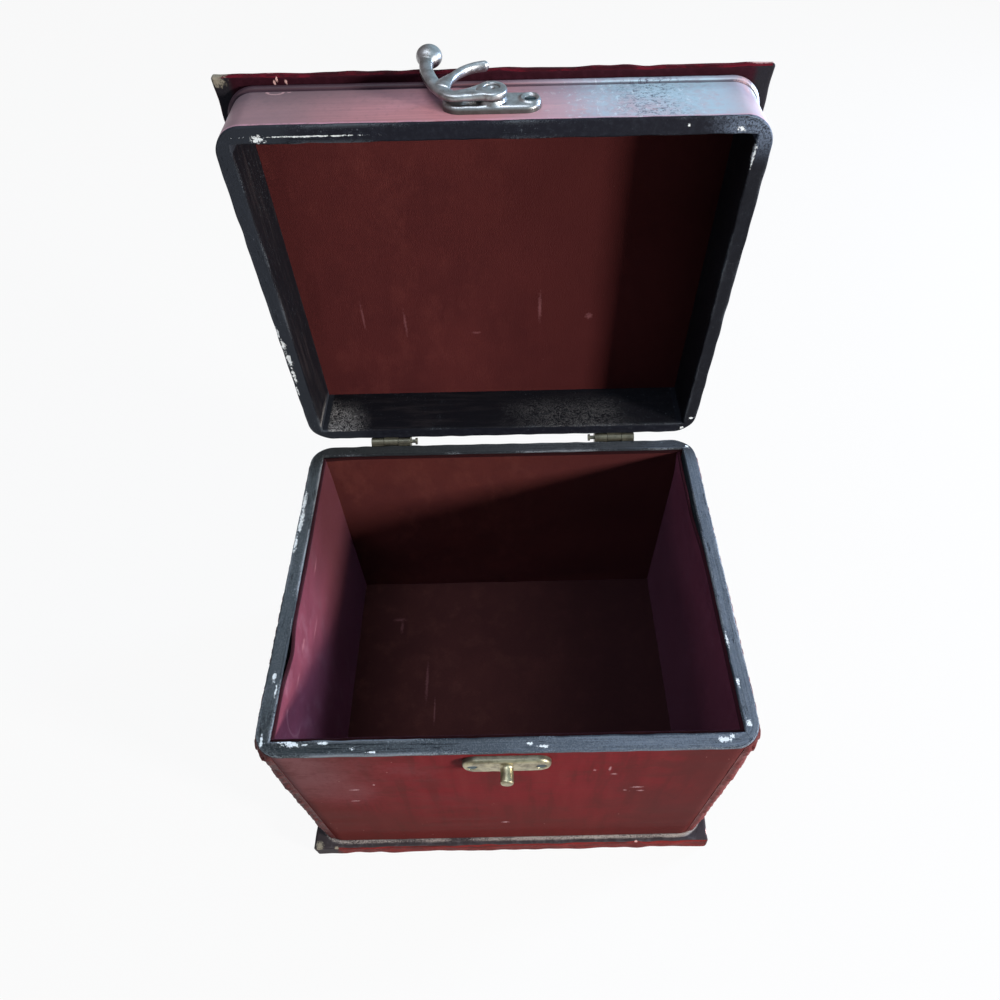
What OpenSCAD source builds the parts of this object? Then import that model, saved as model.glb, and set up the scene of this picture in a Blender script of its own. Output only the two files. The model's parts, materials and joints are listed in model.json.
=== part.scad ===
// Keepsake box with a hinged lid and a swinging hook latch.
// Origin: centre of the underside of the base. X right, Y back, Z up, front towards -Y.
// The lid is drawn standing open on its stop hinges, with the hook turned up beside its plate.

/* [Box] */
// Width of the box over its walls
body_w = 175; // [140:1:220]
// Depth of the box over its walls
body_d = 142; // [110:1:180]
// Height of the walls between the base and the rim
wall_h = 114.5; // [90:0.5:150]
// Thickness of the walls and of the lid's rails
wall_t = 5.6; // [5:0.1:7]
// Radius of the upright outer corners
corner_r = 10; // [7:0.5:14]
// Thickness of the embossed covers on the two sides
cover_t = 1.2; // [0.6:0.1:2]
// How far the covers reach round the corners, measured across the box
cover_wrap = 6.5; // [2:0.5:7]
// Bare edge left above the covers
cover_drop = 1.6; // [0:0.2:6]

/* [Base and floor] */
// Thickness of the base board
base_t = 9.5; // [6:0.5:14]
// How far the base board stands out past the walls
base_over = 3.5; // [2.5:0.1:8]
// Rounding of the base board's upper edges
base_edge_r = 1; // [0.4:0.1:2]
// Thickness of the floor board
floor_t = 3; // [2:0.5:6]

/* [Linings] */
// Thickness of the pile-covered card on the walls
lining_t = 1.2; // [0.8:0.1:2]
// Thickness of the pile-covered card on the floor
floor_lining_t = 1.5; // [0.8:0.1:3]
// Depth of the linings' upper edge below the rim
lining_drop = 0.8; // [0.2:0.2:5]
// Thickness of the card inside the lid
lid_card_t = 1.4; // [0.8:0.1:3]
// Thickness of the pile cloth on that card
lid_lining_t = 1.2; // [0.8:0.1:3]

/* [Lid] */
// Height of the lid's rails
lid_h = 26; // [22:0.5:40]
// Thickness of the top board
top_t = 3; // [2.5:0.1:6]
// How far the top board stands out past the rails
top_over = 3.6; // [2:0.1:3.9]
// Rounding of the top board's edges
top_edge_r = 0.9; // [0.4:0.1:1.2]
// Gap between the two rims when the lid is shut
rim_gap = 0.4; // [0.2:0.1:1]
// Angle at which the stop hinges hold the lid
lid_open = 89; // [80:1:95]
// Height of the half-round bead under the top board
bead_h = 2.6; // [1.6:0.1:3.4]

/* [Hinges] */
// Distance of each hinge's middle from the side of the box
hinge_inset = 36; // [22:0.5:50]
// Length of a hinge along its pin
hinge_l = 18; // [14:0.5:26]
// Length of the middle knuckle, which belongs to the lid's leaf
knuckle_l = 6.4; // [4:0.2:8]
// Height of a leaf from the pin's axis to its far edge
leaf_h = 11; // [9:0.5:14]
// Thickness of a leaf
leaf_t = 0.9; // [0.6:0.1:1.2]
// Outer radius of the knuckles
knuckle_r = 1.9; // [1.6:0.1:2.2]
// Radius of the hinge pin
pin_r = 0.85; // [0.6:0.05:1]
// Space between the back of the box and the knuckles
knuckle_stand = 0.4; // [0.3:0.1:1]
// Reach of the stop heels from the pin's axis
heel_reach = 4.3; // [3.4:0.1:5]

/* [Catch and latch plates] */
// Length of the two rounded plates
plate_l = 31; // [28:0.5:40]
// Height of the two rounded plates
plate_w = 10.2; // [9:0.2:12]
// Thickness of the plates
plate_t = 2.3; // [1.5:0.1:2.6]
// Height of the seat that carries the hook, above the latch plate
seat_h = 0.9; // [0.8:0.1:1.2]
// Bevel on the plates' edges
plate_bevel = 0.5; // [0.2:0.1:0.8]
// Distance between the two screw holes of a plate
screw_pitch = 24; // [20:0.5:26]
// Offset of both plates from the middle of the box
hasp_x = -0.4; // [-10:0.2:10]
// Distance from the lid's rim up to the middle of the latch plate
latch_up = 9.7; // [7:0.1:12]
// Distance from the box's rim down to the middle of the catch plate
catch_down = 7.8; // [7:0.1:12]

/* [Stud] */
// Radius of the stud where the hook closes on it
stud_r = 2.6; // [2:0.1:3]
// Radius of the stud at its tip
stud_tip_r = 2.3; // [1.6:0.1:2.6]
// Length of the stud in front of its plate
stud_l = 5.9; // [5:0.1:8]

/* [Hook] */
// Radius of the hook's eye
eye_r = 4.9; // [4.2:0.1:5.2]
// Thickness of the hook's arm
arm_t = 2.5; // [2:0.1:3]
// Half of the arm's width at its narrowest
arm_half = 1.75; // [1.4:0.05:2]
// Space on each side of the stud in the hook's slot
slot_clear = 0.3; // [0.2:0.05:0.6]
// Half of the finger's width at its root
finger_half = 1.3; // [0.9:0.05:1.5]
// Angle of the finger's tip, seen from the pivot in the drawn pose
finger_tip_at = 93; // [86:1:110]
// Widest radius of the flattened ball at the end of the hook
ball_r = 4.2; // [3:0.1:4.5]
// Half of the ball's thickness
ball_half_t = 3.4; // [2.6:0.1:4]
// Radius of the rivet that carries the hook
rivet_r = 1.6; // [1.2:0.1:2]

/* [Screws] */
// Radius of the screws' shanks
screw_r = 0.7; // [0.5:0.05:0.9]
// Length of the screws of the catch and the latch
screw_l = 6.5; // [4:0.5:7]
// Length of the screws of the hinges
hinge_screw_l = 4.5; // [3:0.5:5.5]

/* [Hidden] */

$fn = 48;
// Small overlap with which cutting shapes run past the faces they cut
over = 0.5;
fit = 0.03;
running = 0.05;

inner_w = body_w - 2 * wall_t;
inner_d = body_d - 2 * wall_t;
rim_z = base_t + wall_h;
lid_z = rim_z + rim_gap;
floor_z = base_t + floor_t;
front_y = -body_d / 2;
back_y = body_d / 2;

hinge_x = body_w / 2 - hinge_inset;
axis_off = knuckle_r + knuckle_stand;
axis_y = back_y + axis_off;
axis_z = rim_z + rim_gap / 2;
knuckle_clear = 0.2;
heel_turn = (180 - lid_open) / 2;
heel_gap = 0.06;
// How much thicker the heel is at its root than at its reach
heel_web = 1.2;
leaf_screw_x = hinge_l / 2 - 3.4;
leaf_screw_z = leaf_h - 3.2;

stud_foot_r = stud_r + 0.5;
stud_foot_h = 0.8;
tenon_r = stud_r - 1;
plate_seat = plate_t + seat_h;
arm_back = plate_seat + 0.1;
arm_mid = arm_back + arm_t / 2;
arm_front = arm_back + arm_t;
// Radius of the circle on which the stud passes round the latch's pivot
stud_orbit = latch_up + catch_down + rim_gap;
finger_r = stud_orbit - stud_r - slot_clear - finger_half;
slot_out_r = stud_orbit + stud_r + slot_clear;

wood_red = [0.42, 0.14, 0.14];
wood_dark = [0.16, 0.15, 0.17];
rim_black = [0.10, 0.11, 0.13];
pile_red = [0.33, 0.12, 0.12];
bronze = [0.45, 0.43, 0.38];
old_brass = [0.58, 0.53, 0.40];

// Flat shapes

module rounded_rect(w, d, r) {
    square([w - 2 * r, d], center = true);
    square([w, d - 2 * r], center = true);
    for (x = [-1, 1], y = [-1, 1])
        translate([x * (w / 2 - r), y * (d / 2 - r)]) circle(r, $fn = 64);
}

// Zone in front of the inner corners, bounded by the two mitre lines
module mitre_zone(half_run, half_across) {
    reach = wall_t + over;
    polygon([[-half_run, -half_across], [half_run, -half_across],
        [half_run + reach, -half_across - reach], [-half_run - reach, -half_across - reach]]);
}

// Plan of one side of the mitred frame: 0 front, 1 right, 2 back, 3 left
module frame_side_plan(side) {
    along = side % 2 == 0 ? inner_w / 2 : inner_d / 2;
    across = side % 2 == 0 ? inner_d / 2 : inner_w / 2;
    intersection() {
        difference() {
            rounded_rect(body_w, body_d, corner_r);
            square([inner_w, inner_d], center = true);
        }
        rotate(90 * side) mitre_zone(along, across);
    }
}

// Board with a rounded upper edge, and a rounded lower edge where asked
module board(w, d, t, r, both) {
    intersection() {
        translate([0, d / 2, 0]) rotate([90, 0, 0]) linear_extrude(d) board_edge(w, t, r, both);
        translate([-w / 2, 0, 0]) rotate([90, 0, 90]) linear_extrude(w) board_edge(d, t, r, both);
    }
}

module board_edge(w, t, r, both) {
    translate([-w / 2 + r, 0]) square([w - 2 * r, t]);
    low = both ? r : 0;
    translate([-w / 2, low]) square([w, t - r - low]);
    for (x = [-1, 1]) {
        translate([x * (w / 2 - r), t - r]) circle(r, $fn = 32);
        if (both) translate([x * (w / 2 - r), r]) circle(r, $fn = 32);
    }
}

// Places: the drawn lid, and faces on which fittings lie flat

module at_lid() {
    translate([0, axis_y, axis_z]) rotate([-lid_open, 0, 0]) translate([0, -axis_y, -axis_z])
        children();
}

// Turns a fitting drawn lying down (X right, Y up the face, Z outwards) onto the front face
module on_front(z) {
    translate([hasp_x, front_y, z]) rotate([90, 0, 0]) children();
}

// The same for the back face, at one of the hinges
module on_back(side, z) {
    translate([side * hinge_x, back_y, z]) rotate([90, 0, 180]) children();
}

module at_catch() {
    on_front(rim_z - catch_down) children();
}

module at_latch() {
    at_lid() on_front(lid_z + latch_up) children();
}

// Screws and their holes

module screw_pair(pitch) {
    for (x = [-1, 1]) translate([x * pitch / 2, 0, 0]) children();
}

screw_head_r = 2.4 * screw_r;
screw_point = [0.3 * screw_r, 1];
screw_slot_w = 0.4;
screw_slot_depth = 0.3;

// Countersunk screw: head_z is the height of its head over the face, l its whole length
module screw(head_z, l) {
    difference() {
        rotate_extrude($fn = 24) polygon([[0, head_z - l], [screw_point[0], head_z - l],
            [screw_r, head_z - l + screw_point[1]], [screw_r, head_z - screw_head_r + screw_r],
            [screw_head_r, head_z], [0, head_z]]);
        translate([0, 0, head_z])
            cube([3 * screw_head_r, screw_slot_w, 2 * screw_slot_depth], center = true);
    }
}

// Room for a screw: its own outline with a little clearance, open above the head
module screw_space(head_z, l) {
    head_r = screw_head_r + 2 * fit;
    open_z = head_z + 4 * over;
    rotate_extrude($fn = 24) polygon([[0, head_z - l - fit], [screw_r + fit, head_z - l - fit],
        [screw_r + fit, head_z - head_r + screw_r + fit], [head_r, head_z],
        [head_r, open_z], [0, open_z]]);
}

screw_head_z = plate_t - 0.2;
module plate_screw_spaces() {
    screw_pair(screw_pitch) screw_space(screw_head_z, screw_l);
}

// Hinge screws of both hinges: z_dir is -1 below the pin and 1 above it
module at_leaf_screws(z_dir) {
    for (side = [-1, 1])
        on_back(side, axis_z + z_dir * leaf_screw_z) screw_pair(2 * leaf_screw_x) children();
}

// Box

module frame_wall(side) {
    translate([0, 0, base_t]) linear_extrude(wall_h) frame_side_plan(side);
}

module base_board() {
    color(wood_dark)
        board(body_w + 2 * base_over, body_d + 2 * base_over, base_t, base_edge_r, false);
}

module floor_board() {
    color(wood_dark) translate([-inner_w / 2, -inner_d / 2, base_t])
        cube([inner_w, inner_d, floor_t]);
}

module front_wall() {
    color(wood_red) difference() {
        frame_wall(0);
        at_catch() plate_screw_spaces();
    }
}

module right_wall() {
    color(wood_red) frame_wall(1);
}

module back_wall() {
    color(wood_red) difference() {
        frame_wall(2);
        at_leaf_screws(-1) screw_space(leaf_t, hinge_screw_l);
    }
}

module left_wall() {
    color(wood_red) frame_wall(3);
}

// Embossed skin on one side, carried round both corners of that side
module side_cover(side) {
    edge_x = body_w / 2 - cover_wrap;
    translate([0, 0, base_t]) linear_extrude(wall_h - cover_drop) intersection() {
        difference() {
            rounded_rect(body_w + 2 * cover_t, body_d + 2 * cover_t, corner_r + cover_t);
            rounded_rect(body_w, body_d, corner_r);
        }
        translate([side > 0 ? edge_x : -edge_x - body_w, -body_d]) square([body_w, 2 * body_d]);
    }
}

module left_side_cover() {
    color(wood_red) side_cover(-1);
}

module right_side_cover() {
    color(wood_red) side_cover(1);
}

lining_h = rim_z - lining_drop - floor_z;

module floor_lining() {
    color(pile_red) translate([-inner_w / 2 + lining_t, -inner_d / 2 + lining_t, floor_z])
        cube([inner_w - 2 * lining_t, inner_d - 2 * lining_t, floor_lining_t]);
}

module front_lining() {
    color(pile_red) translate([-inner_w / 2, -inner_d / 2, floor_z])
        cube([inner_w, lining_t, lining_h]);
}

module back_lining() {
    color(pile_red) translate([-inner_w / 2, inner_d / 2 - lining_t, floor_z])
        cube([inner_w, lining_t, lining_h]);
}

module left_lining() {
    color(pile_red) translate([-inner_w / 2, -inner_d / 2 + lining_t, floor_z])
        cube([lining_t, inner_d - 2 * lining_t, lining_h]);
}

module right_lining() {
    color(pile_red) translate([inner_w / 2 - lining_t, -inner_d / 2 + lining_t, floor_z])
        cube([lining_t, inner_d - 2 * lining_t, lining_h]);
}

// Hinges: drawn in the plane across the pin, Y outwards and X up, then carried along the pin

// Heel that meets the other leaf's heel when the lid stands open
module heel_profile() {
    face = [sin(heel_turn), -cos(heel_turn)];
    inward = [-cos(heel_turn), -sin(heel_turn)];
    root_y = -axis_off + leaf_t / 2;
    polygon([[root_y, -knuckle_r], heel_gap * inward, heel_reach * face + heel_gap * inward,
        [root_y, -heel_reach - heel_web]]);
}

// Cross-section of a leaf through one of its own knuckles
module leaf_at_own_knuckle() {
    translate([-axis_off, -leaf_h]) square([leaf_t, leaf_h]);
    circle(knuckle_r);
    heel_profile();
}

// Cross-section of a leaf beside the other leaf's knuckle
module leaf_at_other_knuckle() {
    difference() {
        union() {
            translate([-axis_off, -leaf_h]) square([leaf_t, leaf_h]);
            heel_profile();
        }
        circle(knuckle_r + knuckle_clear);
        translate([-axis_off - over, -knuckle_r - knuckle_clear])
            square([axis_off + over, 2 * knuckle_r]);
    }
}

// Stretch of a leaf along the pin, from x0 to x1
module leaf_stretch(x0, x1) {
    translate([x0, 0, 0]) rotate([90, 0, 90]) linear_extrude(x1 - x0) children();
}

// Leaf below the pin, on the back face. own_middle: it has the middle knuckle, else the outer two
module leaf(own_middle) {
    end = hinge_l / 2;
    half = knuckle_l / 2 + (own_middle ? 0 : knuckle_clear);
    difference() {
        union() {
            leaf_stretch(-half, half)
                if (own_middle) leaf_at_own_knuckle(); else leaf_at_other_knuckle();
            for (span = [[-end, -half], [half, end]])
                leaf_stretch(span[0], span[1])
                    if (own_middle) leaf_at_other_knuckle(); else leaf_at_own_knuckle();
        }
        translate([-end - over, 0, 0]) rotate([0, 90, 0])
            cylinder(r = pin_r + (own_middle ? running : fit), h = hinge_l + 2 * over, $fn = 32);
        for (x = [-1, 1]) translate([x * leaf_screw_x, -axis_off, -leaf_screw_z])
            rotate([-90, 0, 0]) screw_space(leaf_t, hinge_screw_l);
    }
}

module body_leaf(side) {
    translate([side * hinge_x, axis_y, axis_z]) leaf(false);
}

module lid_leaf(side) {
    at_lid() translate([side * hinge_x, axis_y, axis_z]) mirror([0, 0, 1]) leaf(true);
}

module left_hinge_body_leaf() {
    color(old_brass) body_leaf(-1);
}

module right_hinge_body_leaf() {
    color(old_brass) body_leaf(1);
}

module left_hinge_lid_leaf() {
    color(old_brass) lid_leaf(-1);
}

module right_hinge_lid_leaf() {
    color(old_brass) lid_leaf(1);
}

// Pin with its head standing clear of the knuckles on the side nearer the middle of the box
module hinge_pin(side) {
    head_stand = 2.2;
    head_t = 0.9;
    translate([side * (hinge_x + hinge_l / 2), axis_y, axis_z]) rotate([0, -side * 90, 0]) {
        cylinder(r = pin_r, h = hinge_l + head_stand + head_t, $fn = 32);
        translate([0, 0, hinge_l + head_stand]) cylinder(r = 1.8 * pin_r, h = head_t, $fn = 32);
    }
}

module left_hinge_pin() {
    color(old_brass) hinge_pin(-1);
}

module right_hinge_pin() {
    color(old_brass) hinge_pin(1);
}

module hinge_body_screws() {
    color(old_brass) at_leaf_screws(-1) screw(leaf_t, hinge_screw_l);
}

module hinge_lid_screws() {
    color(old_brass) at_lid() at_leaf_screws(1) screw(leaf_t, hinge_screw_l);
}

// Catch and latch plates: drawn lying down, their backs on Z = 0

// Plate with round ends and a bevelled upper edge
module rounded_plate(l, w, t, bevel) {
    span = l - w;
    for (x = [-1, 1]) translate([x * span / 2, 0, 0]) {
        cylinder(r = w / 2, h = t - bevel);
        translate([0, 0, t - bevel]) cylinder(r1 = w / 2, r2 = w / 2 - bevel, h = bevel);
    }
    translate([-span / 2, 0, 0]) rotate([90, 0, 90]) linear_extrude(span)
        polygon([[-w / 2, 0], [w / 2, 0], [w / 2, t - bevel], [w / 2 - bevel, t],
            [-w / 2 + bevel, t], [-w / 2, t - bevel]]);
}

module catch_plate() {
    color(old_brass) at_catch() difference() {
        rounded_plate(plate_l, plate_w, plate_t, plate_bevel);
        plate_screw_spaces();
        translate([0, 0, -over]) cylinder(r = tenon_r + fit, h = plate_t + 2 * over, $fn = 32);
    }
}

// Tapered stud with a flared foot and a rounded tip, riveted through its plate
module catch_stud() {
    tip_round = 1;
    end = plate_t + stud_l;
    tip_arc = [for (a = [0:15:90])
        [stud_tip_r - tip_round + tip_round * cos(a), end - tip_round + tip_round * sin(a)]];
    color(old_brass) at_catch() rotate_extrude($fn = 40) polygon(concat(
        [[0, 0], [tenon_r, 0], [tenon_r, plate_t], [stud_foot_r, plate_t],
            [stud_r, plate_t + stud_foot_h]],
        tip_arc, [[0, end]]));
}

module catch_screws() {
    color(bronze) at_catch() screw_pair(screw_pitch) screw(screw_head_z, screw_l);
}

// Latch plate: a raised seat under the hook's eye and a raised ring round each screw
module latch_plate() {
    ring_h = 0.5;
    ring_w = 1.3;
    color(bronze) at_latch() difference() {
        union() {
            rounded_plate(plate_l, plate_w, plate_t, plate_bevel);
            cylinder(r = eye_r, h = plate_seat);
            screw_pair(screw_pitch) difference() {
                cylinder(r = (plate_l - screw_pitch) / 2, h = plate_t + ring_h);
                cylinder(r = (plate_l - screw_pitch) / 2 - ring_w, h = plate_t + ring_h + over);
            }
        }
        plate_screw_spaces();
        translate([0, 0, -over]) cylinder(r = rivet_r + fit, h = plate_seat + 2 * over, $fn = 32);
    }
}

dish_r = rivet_r + 0.9;
dish_depth = 0.9;
rivet_sink = 0.3;
rivet_hollow_r = 1.7;
rivet_hollow_depth = 0.5;

// Rivet through plate and eye, its wide head sunk in the eye's dish and hollowed on top
module latch_rivet() {
    foot = arm_front - dish_depth + fit;
    top = arm_front - rivet_sink;
    color(bronze) at_latch() difference() {
        rotate_extrude($fn = 40) polygon([[0, 0], [rivet_r, 0], [rivet_r, foot],
            [dish_r - running, foot], [dish_r - running, top], [0, top]]);
        translate([0, 0, top - rivet_hollow_depth + rivet_hollow_r])
            sphere(rivet_hollow_r, $fn = 32);
    }
}

module latch_screws() {
    color(bronze) at_latch() screw_pair(screw_pitch) screw(screw_head_z, screw_l);
}

// Hook: a flattened bar swept from the eye through the bend to the ball, and a tapering finger.
// A station is [x, y, height over the face, half width, half thickness], with the pivot at [0, 0].

// Space between the ball and the edge of the top board
ball_clear = 0.3;
tail_lift = top_over + ball_clear + ball_half_t;
arm_stations = [
    [-1.2, -0.9, arm_mid, 2 * arm_half, arm_t / 2],
    [-6.5, -3.2, arm_mid, arm_half + 0.5, arm_t / 2],
    [-12.6, -2.6, arm_mid, arm_half + 0.4, arm_t / 2],
    [-slot_out_r * 0.812, 2.2, arm_mid + 0.5, arm_half + 0.5, arm_t / 2 + 0.15],
    [-slot_out_r * 0.942, 7.8, arm_mid + 1.5, arm_half + 0.4, arm_t / 2 + 0.4],
    [-slot_out_r * 0.99, 13.4, tail_lift - 0.9, arm_half + 0.4, arm_t / 2 + 0.6],
    [-slot_out_r * 0.975, 17.6, tail_lift, arm_half + 0.5, arm_t / 2 + 0.6]];
ball_at = [-slot_out_r * 0.952, 19, tail_lift];

finger_root_at = 176;
finger_rings = 16;
// The finger widens outwards by flare where it leaves the arm, over the first flare_end of its length
flare = 2;
flare_end = 0.32;
// Stations of the finger: an arc round the pivot that tapers and rises towards its tip
finger_stations = [for (i = [0:finger_rings])
    let (s = i / finger_rings, a = finger_root_at + s * (finger_tip_at - finger_root_at),
        wider = flare * max(0, 1 - s / flare_end), r = finger_r + wider)
    [r * cos(a), r * sin(a), arm_mid + 0.7 + 2.3 * s - 1.3 * s * s,
        finger_half * (1 - 0.15 * s) + wider, arm_t / 2 * (1 - 0.12 * s)]];

// Point at t (0 to 1) between the middle two of four stations, on a smooth curve through all
function smooth_between(a, b, c, d, t) =
    b + (c - a) * t / 2 + (2 * a - 5 * b + 4 * c - d) * t * t / 2
    + (3 * b - a - 3 * c + d) * t * t * t / 2;

function smooth_path(p, steps) = let (n = len(p) - 1) concat(
    [for (i = [0:n - 1], j = [0:steps - 1])
        smooth_between(p[max(i - 1, 0)], p[i], p[i + 1], p[min(i + 2, n)], j / steps)],
    [p[n]]);

// Direction of the path in the plane of the plate, at station i
function heading(p, i) = let (a = p[max(i - 1, 0)], b = p[min(i + 1, len(p) - 1)],
    d = [b[0] - a[0], b[1] - a[1]]) d / norm(d);

// Oval ring of a station: its width lies across the path and its thickness off the plate
function ring(p, i, sides) = let (s = p[i], h = heading(p, i)) [for (k = [0:sides - 1])
    let (a = 360 * k / sides, u = s[3] * cos(a))
    [s[0] - h[1] * u, s[1] + h[0] * u, s[2] + s[4] * sin(a)]];

module swept_bar(p, sides) {
    n = len(p);
    points = [for (i = [0:n - 1]) each ring(p, i, sides)];
    walls = [for (i = [0:n - 2], k = [0:sides - 1]) let (q = (k + 1) % sides) each [
        [i * sides + k, (i + 1) * sides + q, i * sides + q],
        [i * sides + k, (i + 1) * sides + k, (i + 1) * sides + q]]];
    first = [for (k = [0:sides - 1]) k];
    last = [for (k = [sides - 1:-1:0]) (n - 1) * sides + k];
    polyhedron(points, concat(walls, [first, last]));
}

// Eye: a flat ring with rounded outer edges, drawn solid
module hook_eye() {
    edge_r = 0.8;
    turn = [for (a = [0:22.5:90]) [cos(a), sin(a)] * edge_r];
    translate([0, 0, arm_back]) rotate_extrude($fn = 48) polygon(concat([[0, 0]],
        [for (p = turn) [eye_r - edge_r + p[1], edge_r - p[0]]],
        [for (p = turn) [eye_r - edge_r + p[0], arm_t - edge_r + p[1]]], [[0, arm_t]]));
}

// Ball: a sphere pressed a little flat
module hook_ball() {
    half = [for (a = [-90:15:90]) [ball_r * cos(a), ball_half_t * sin(a)]];
    translate(ball_at) rotate_extrude($fn = 36) polygon(half);
}

module latch_hook() {
    color(bronze) at_latch() difference() {
        union() {
            swept_bar(smooth_path(arm_stations, 5), 14);
            swept_bar(finger_stations, 12);
            hook_eye();
            hook_ball();
        }
        translate([0, 0, arm_back - over])
            cylinder(r = rivet_r + running, h = arm_t + 2 * over, $fn = 32);
        translate([0, 0, arm_front - dish_depth])
            cylinder(r = dish_r, h = dish_depth + over, $fn = 32);
    }
}

// Lid

module lid_rail(side) {
    translate([0, 0, lid_z]) linear_extrude(lid_h) frame_side_plan(side);
}

module lid_front_rail() {
    color(wood_red) at_lid() difference() {
        lid_rail(0);
        on_front(lid_z + latch_up) plate_screw_spaces();
    }
}

module lid_right_rail() {
    color(wood_red) at_lid() lid_rail(1);
}

module lid_back_rail() {
    color(wood_red) at_lid() difference() {
        lid_rail(2);
        at_leaf_screws(1) screw_space(leaf_t, hinge_screw_l);
    }
}

module lid_left_rail() {
    color(wood_red) at_lid() lid_rail(3);
}

module lid_top_board() {
    color(wood_red) at_lid() translate([0, 0, lid_z + lid_h])
        board(body_w + 2 * top_over, body_d + 2 * top_over, top_t, top_edge_r, true);
}

// Half-round strip along the four sides, with quarter turns at the corners
module lid_bead() {
    out = bead_h / 2;
    straight_w = body_w - 2 * corner_r;
    straight_d = body_d - 2 * corner_r;
    color(wood_red) at_lid() translate([0, 0, lid_z + lid_h - out]) {
        for (y = [-1, 1]) translate([-straight_w / 2, y * body_d / 2, 0])
            rotate([90, 0, 90]) linear_extrude(straight_w) bead_profile(y, out);
        for (x = [-1, 1]) translate([x * body_w / 2, straight_d / 2, 0])
            rotate([90, 0, 0]) linear_extrude(straight_d) bead_profile(x, out);
        for (x = [0, 1], y = [0, 1]) mirror([x, 0, 0]) mirror([0, y, 0])
            translate([straight_w / 2, straight_d / 2, 0])
                rotate_extrude(angle = 90, $fn = 64) translate([corner_r, 0]) bead_profile(1, out);
    }
}

// Half disc that bulges towards +X or -X
module bead_profile(towards, r) {
    intersection() {
        circle(r, $fn = 32);
        translate([towards > 0 ? 0 : -r, -r]) square([r, 2 * r]);
    }
}

module lid_card() {
    color(rim_black) at_lid() translate([-inner_w / 2, -inner_d / 2, lid_z + lid_h - lid_card_t])
        cube([inner_w, inner_d, lid_card_t]);
}

module lid_lining() {
    color(pile_red) at_lid()
        translate([-inner_w / 2, -inner_d / 2, lid_z + lid_h - lid_card_t - lid_lining_t])
            cube([inner_w, inner_d, lid_lining_t]);
}

base_board();
floor_board();
front_wall();
back_wall();
left_wall();
right_wall();
left_side_cover();
right_side_cover();
floor_lining();
front_lining();
back_lining();
left_lining();
right_lining();
catch_plate();
catch_stud();
catch_screws();
left_hinge_body_leaf();
right_hinge_body_leaf();
left_hinge_pin();
right_hinge_pin();
hinge_body_screws();
lid_front_rail();
lid_back_rail();
lid_left_rail();
lid_right_rail();
lid_top_board();
lid_bead();
lid_card();
lid_lining();
left_hinge_lid_leaf();
right_hinge_lid_leaf();
hinge_lid_screws();
latch_plate();
latch_rivet();
latch_screws();
latch_hook();
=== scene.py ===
"""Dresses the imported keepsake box: worn lacquer, black rims, embossed sides, pile cloth and cast fittings.

Lengths are millimetres in the row frame (X right, Y back, Z up) and become metres when a mesh is made.
The lid's pieces are worked out shut and then turned open about the hinge pins.
"""

import json
import logging
import math
from dataclasses import dataclass, replace
from enum import Enum
from typing import ClassVar

import bpy
import numpy as np
from mathutils import Matrix, Vector

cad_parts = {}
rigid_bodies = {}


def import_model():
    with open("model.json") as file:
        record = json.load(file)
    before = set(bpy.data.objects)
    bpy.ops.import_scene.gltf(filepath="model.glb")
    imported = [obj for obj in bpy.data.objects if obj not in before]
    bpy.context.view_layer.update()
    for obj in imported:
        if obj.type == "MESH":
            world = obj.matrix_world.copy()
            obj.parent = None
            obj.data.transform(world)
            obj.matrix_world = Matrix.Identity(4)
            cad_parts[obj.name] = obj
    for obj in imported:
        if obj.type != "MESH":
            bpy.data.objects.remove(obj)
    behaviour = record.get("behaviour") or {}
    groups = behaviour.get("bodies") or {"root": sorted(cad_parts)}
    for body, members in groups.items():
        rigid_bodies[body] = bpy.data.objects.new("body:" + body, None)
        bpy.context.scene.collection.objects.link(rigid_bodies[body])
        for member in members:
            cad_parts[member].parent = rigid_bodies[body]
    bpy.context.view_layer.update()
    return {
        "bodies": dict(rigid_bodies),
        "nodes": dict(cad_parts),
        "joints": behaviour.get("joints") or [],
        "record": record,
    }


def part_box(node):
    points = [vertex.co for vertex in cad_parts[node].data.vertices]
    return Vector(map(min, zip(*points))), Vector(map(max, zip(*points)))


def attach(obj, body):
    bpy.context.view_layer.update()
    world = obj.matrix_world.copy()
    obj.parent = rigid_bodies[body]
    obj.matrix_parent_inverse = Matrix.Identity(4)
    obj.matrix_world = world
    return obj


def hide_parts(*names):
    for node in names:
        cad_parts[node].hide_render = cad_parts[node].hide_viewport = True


LOG = logging.getLogger("keepsake_box")
MM = 0.001
Array = np.ndarray
Triple = tuple[float, float, float]
Colour = tuple[float, float, float, float]
OPEN_DEGREES = 89.0  # how far the lid stands open
CREASE_DEGREES = 40.0  # edges that turn by more stay sharp
SIDE_RUN = 400.0  # keeps the streaks of one side of a frame off those of the next
WHITE: Colour = (1.0, 1.0, 1.0, 1.0)


class Body(Enum):
    """Body of the frame that a piece rides on."""

    BOX = "box"
    LID = "lid"
    HOOK = "hook"


class Slot(Enum):
    """Part of the finish that a piece belongs to."""

    LACQUER = "red_lacquer"
    BOARD = "dark_board"
    COVER = "embossed_cover"
    PILE = "pile_cloth"
    BRASS = "old_brass"
    BRONZE = "antique_bronze"


class Held(Enum):
    """How a lining is held."""

    STRETCHED = "stretched"
    LAID = "laid"


class Side(Enum):
    """Side of the box, with its quarter turns from the front."""

    FRONT = 0
    RIGHT = 1
    BACK = 2
    LEFT = 3

    @property
    def label(self) -> str:
        """Its name as the nodes spell it."""
        return self.name.lower()


def paint(red: int, green: int, blue: int) -> Colour:
    """Linear colour of a screen colour.

    Args:
        red: 0 to 255.
        green: 0 to 255.
        blue: 0 to 255.

    Returns:
        Red, green, blue and 1, as the shaders take them.
    """
    parts = [(c / 255 / 12.92) if c <= 10 else ((c / 255 + 0.055) / 1.055) ** 2.4 for c in (red, green, blue)]
    return (parts[0], parts[1], parts[2], 1.0)


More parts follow.
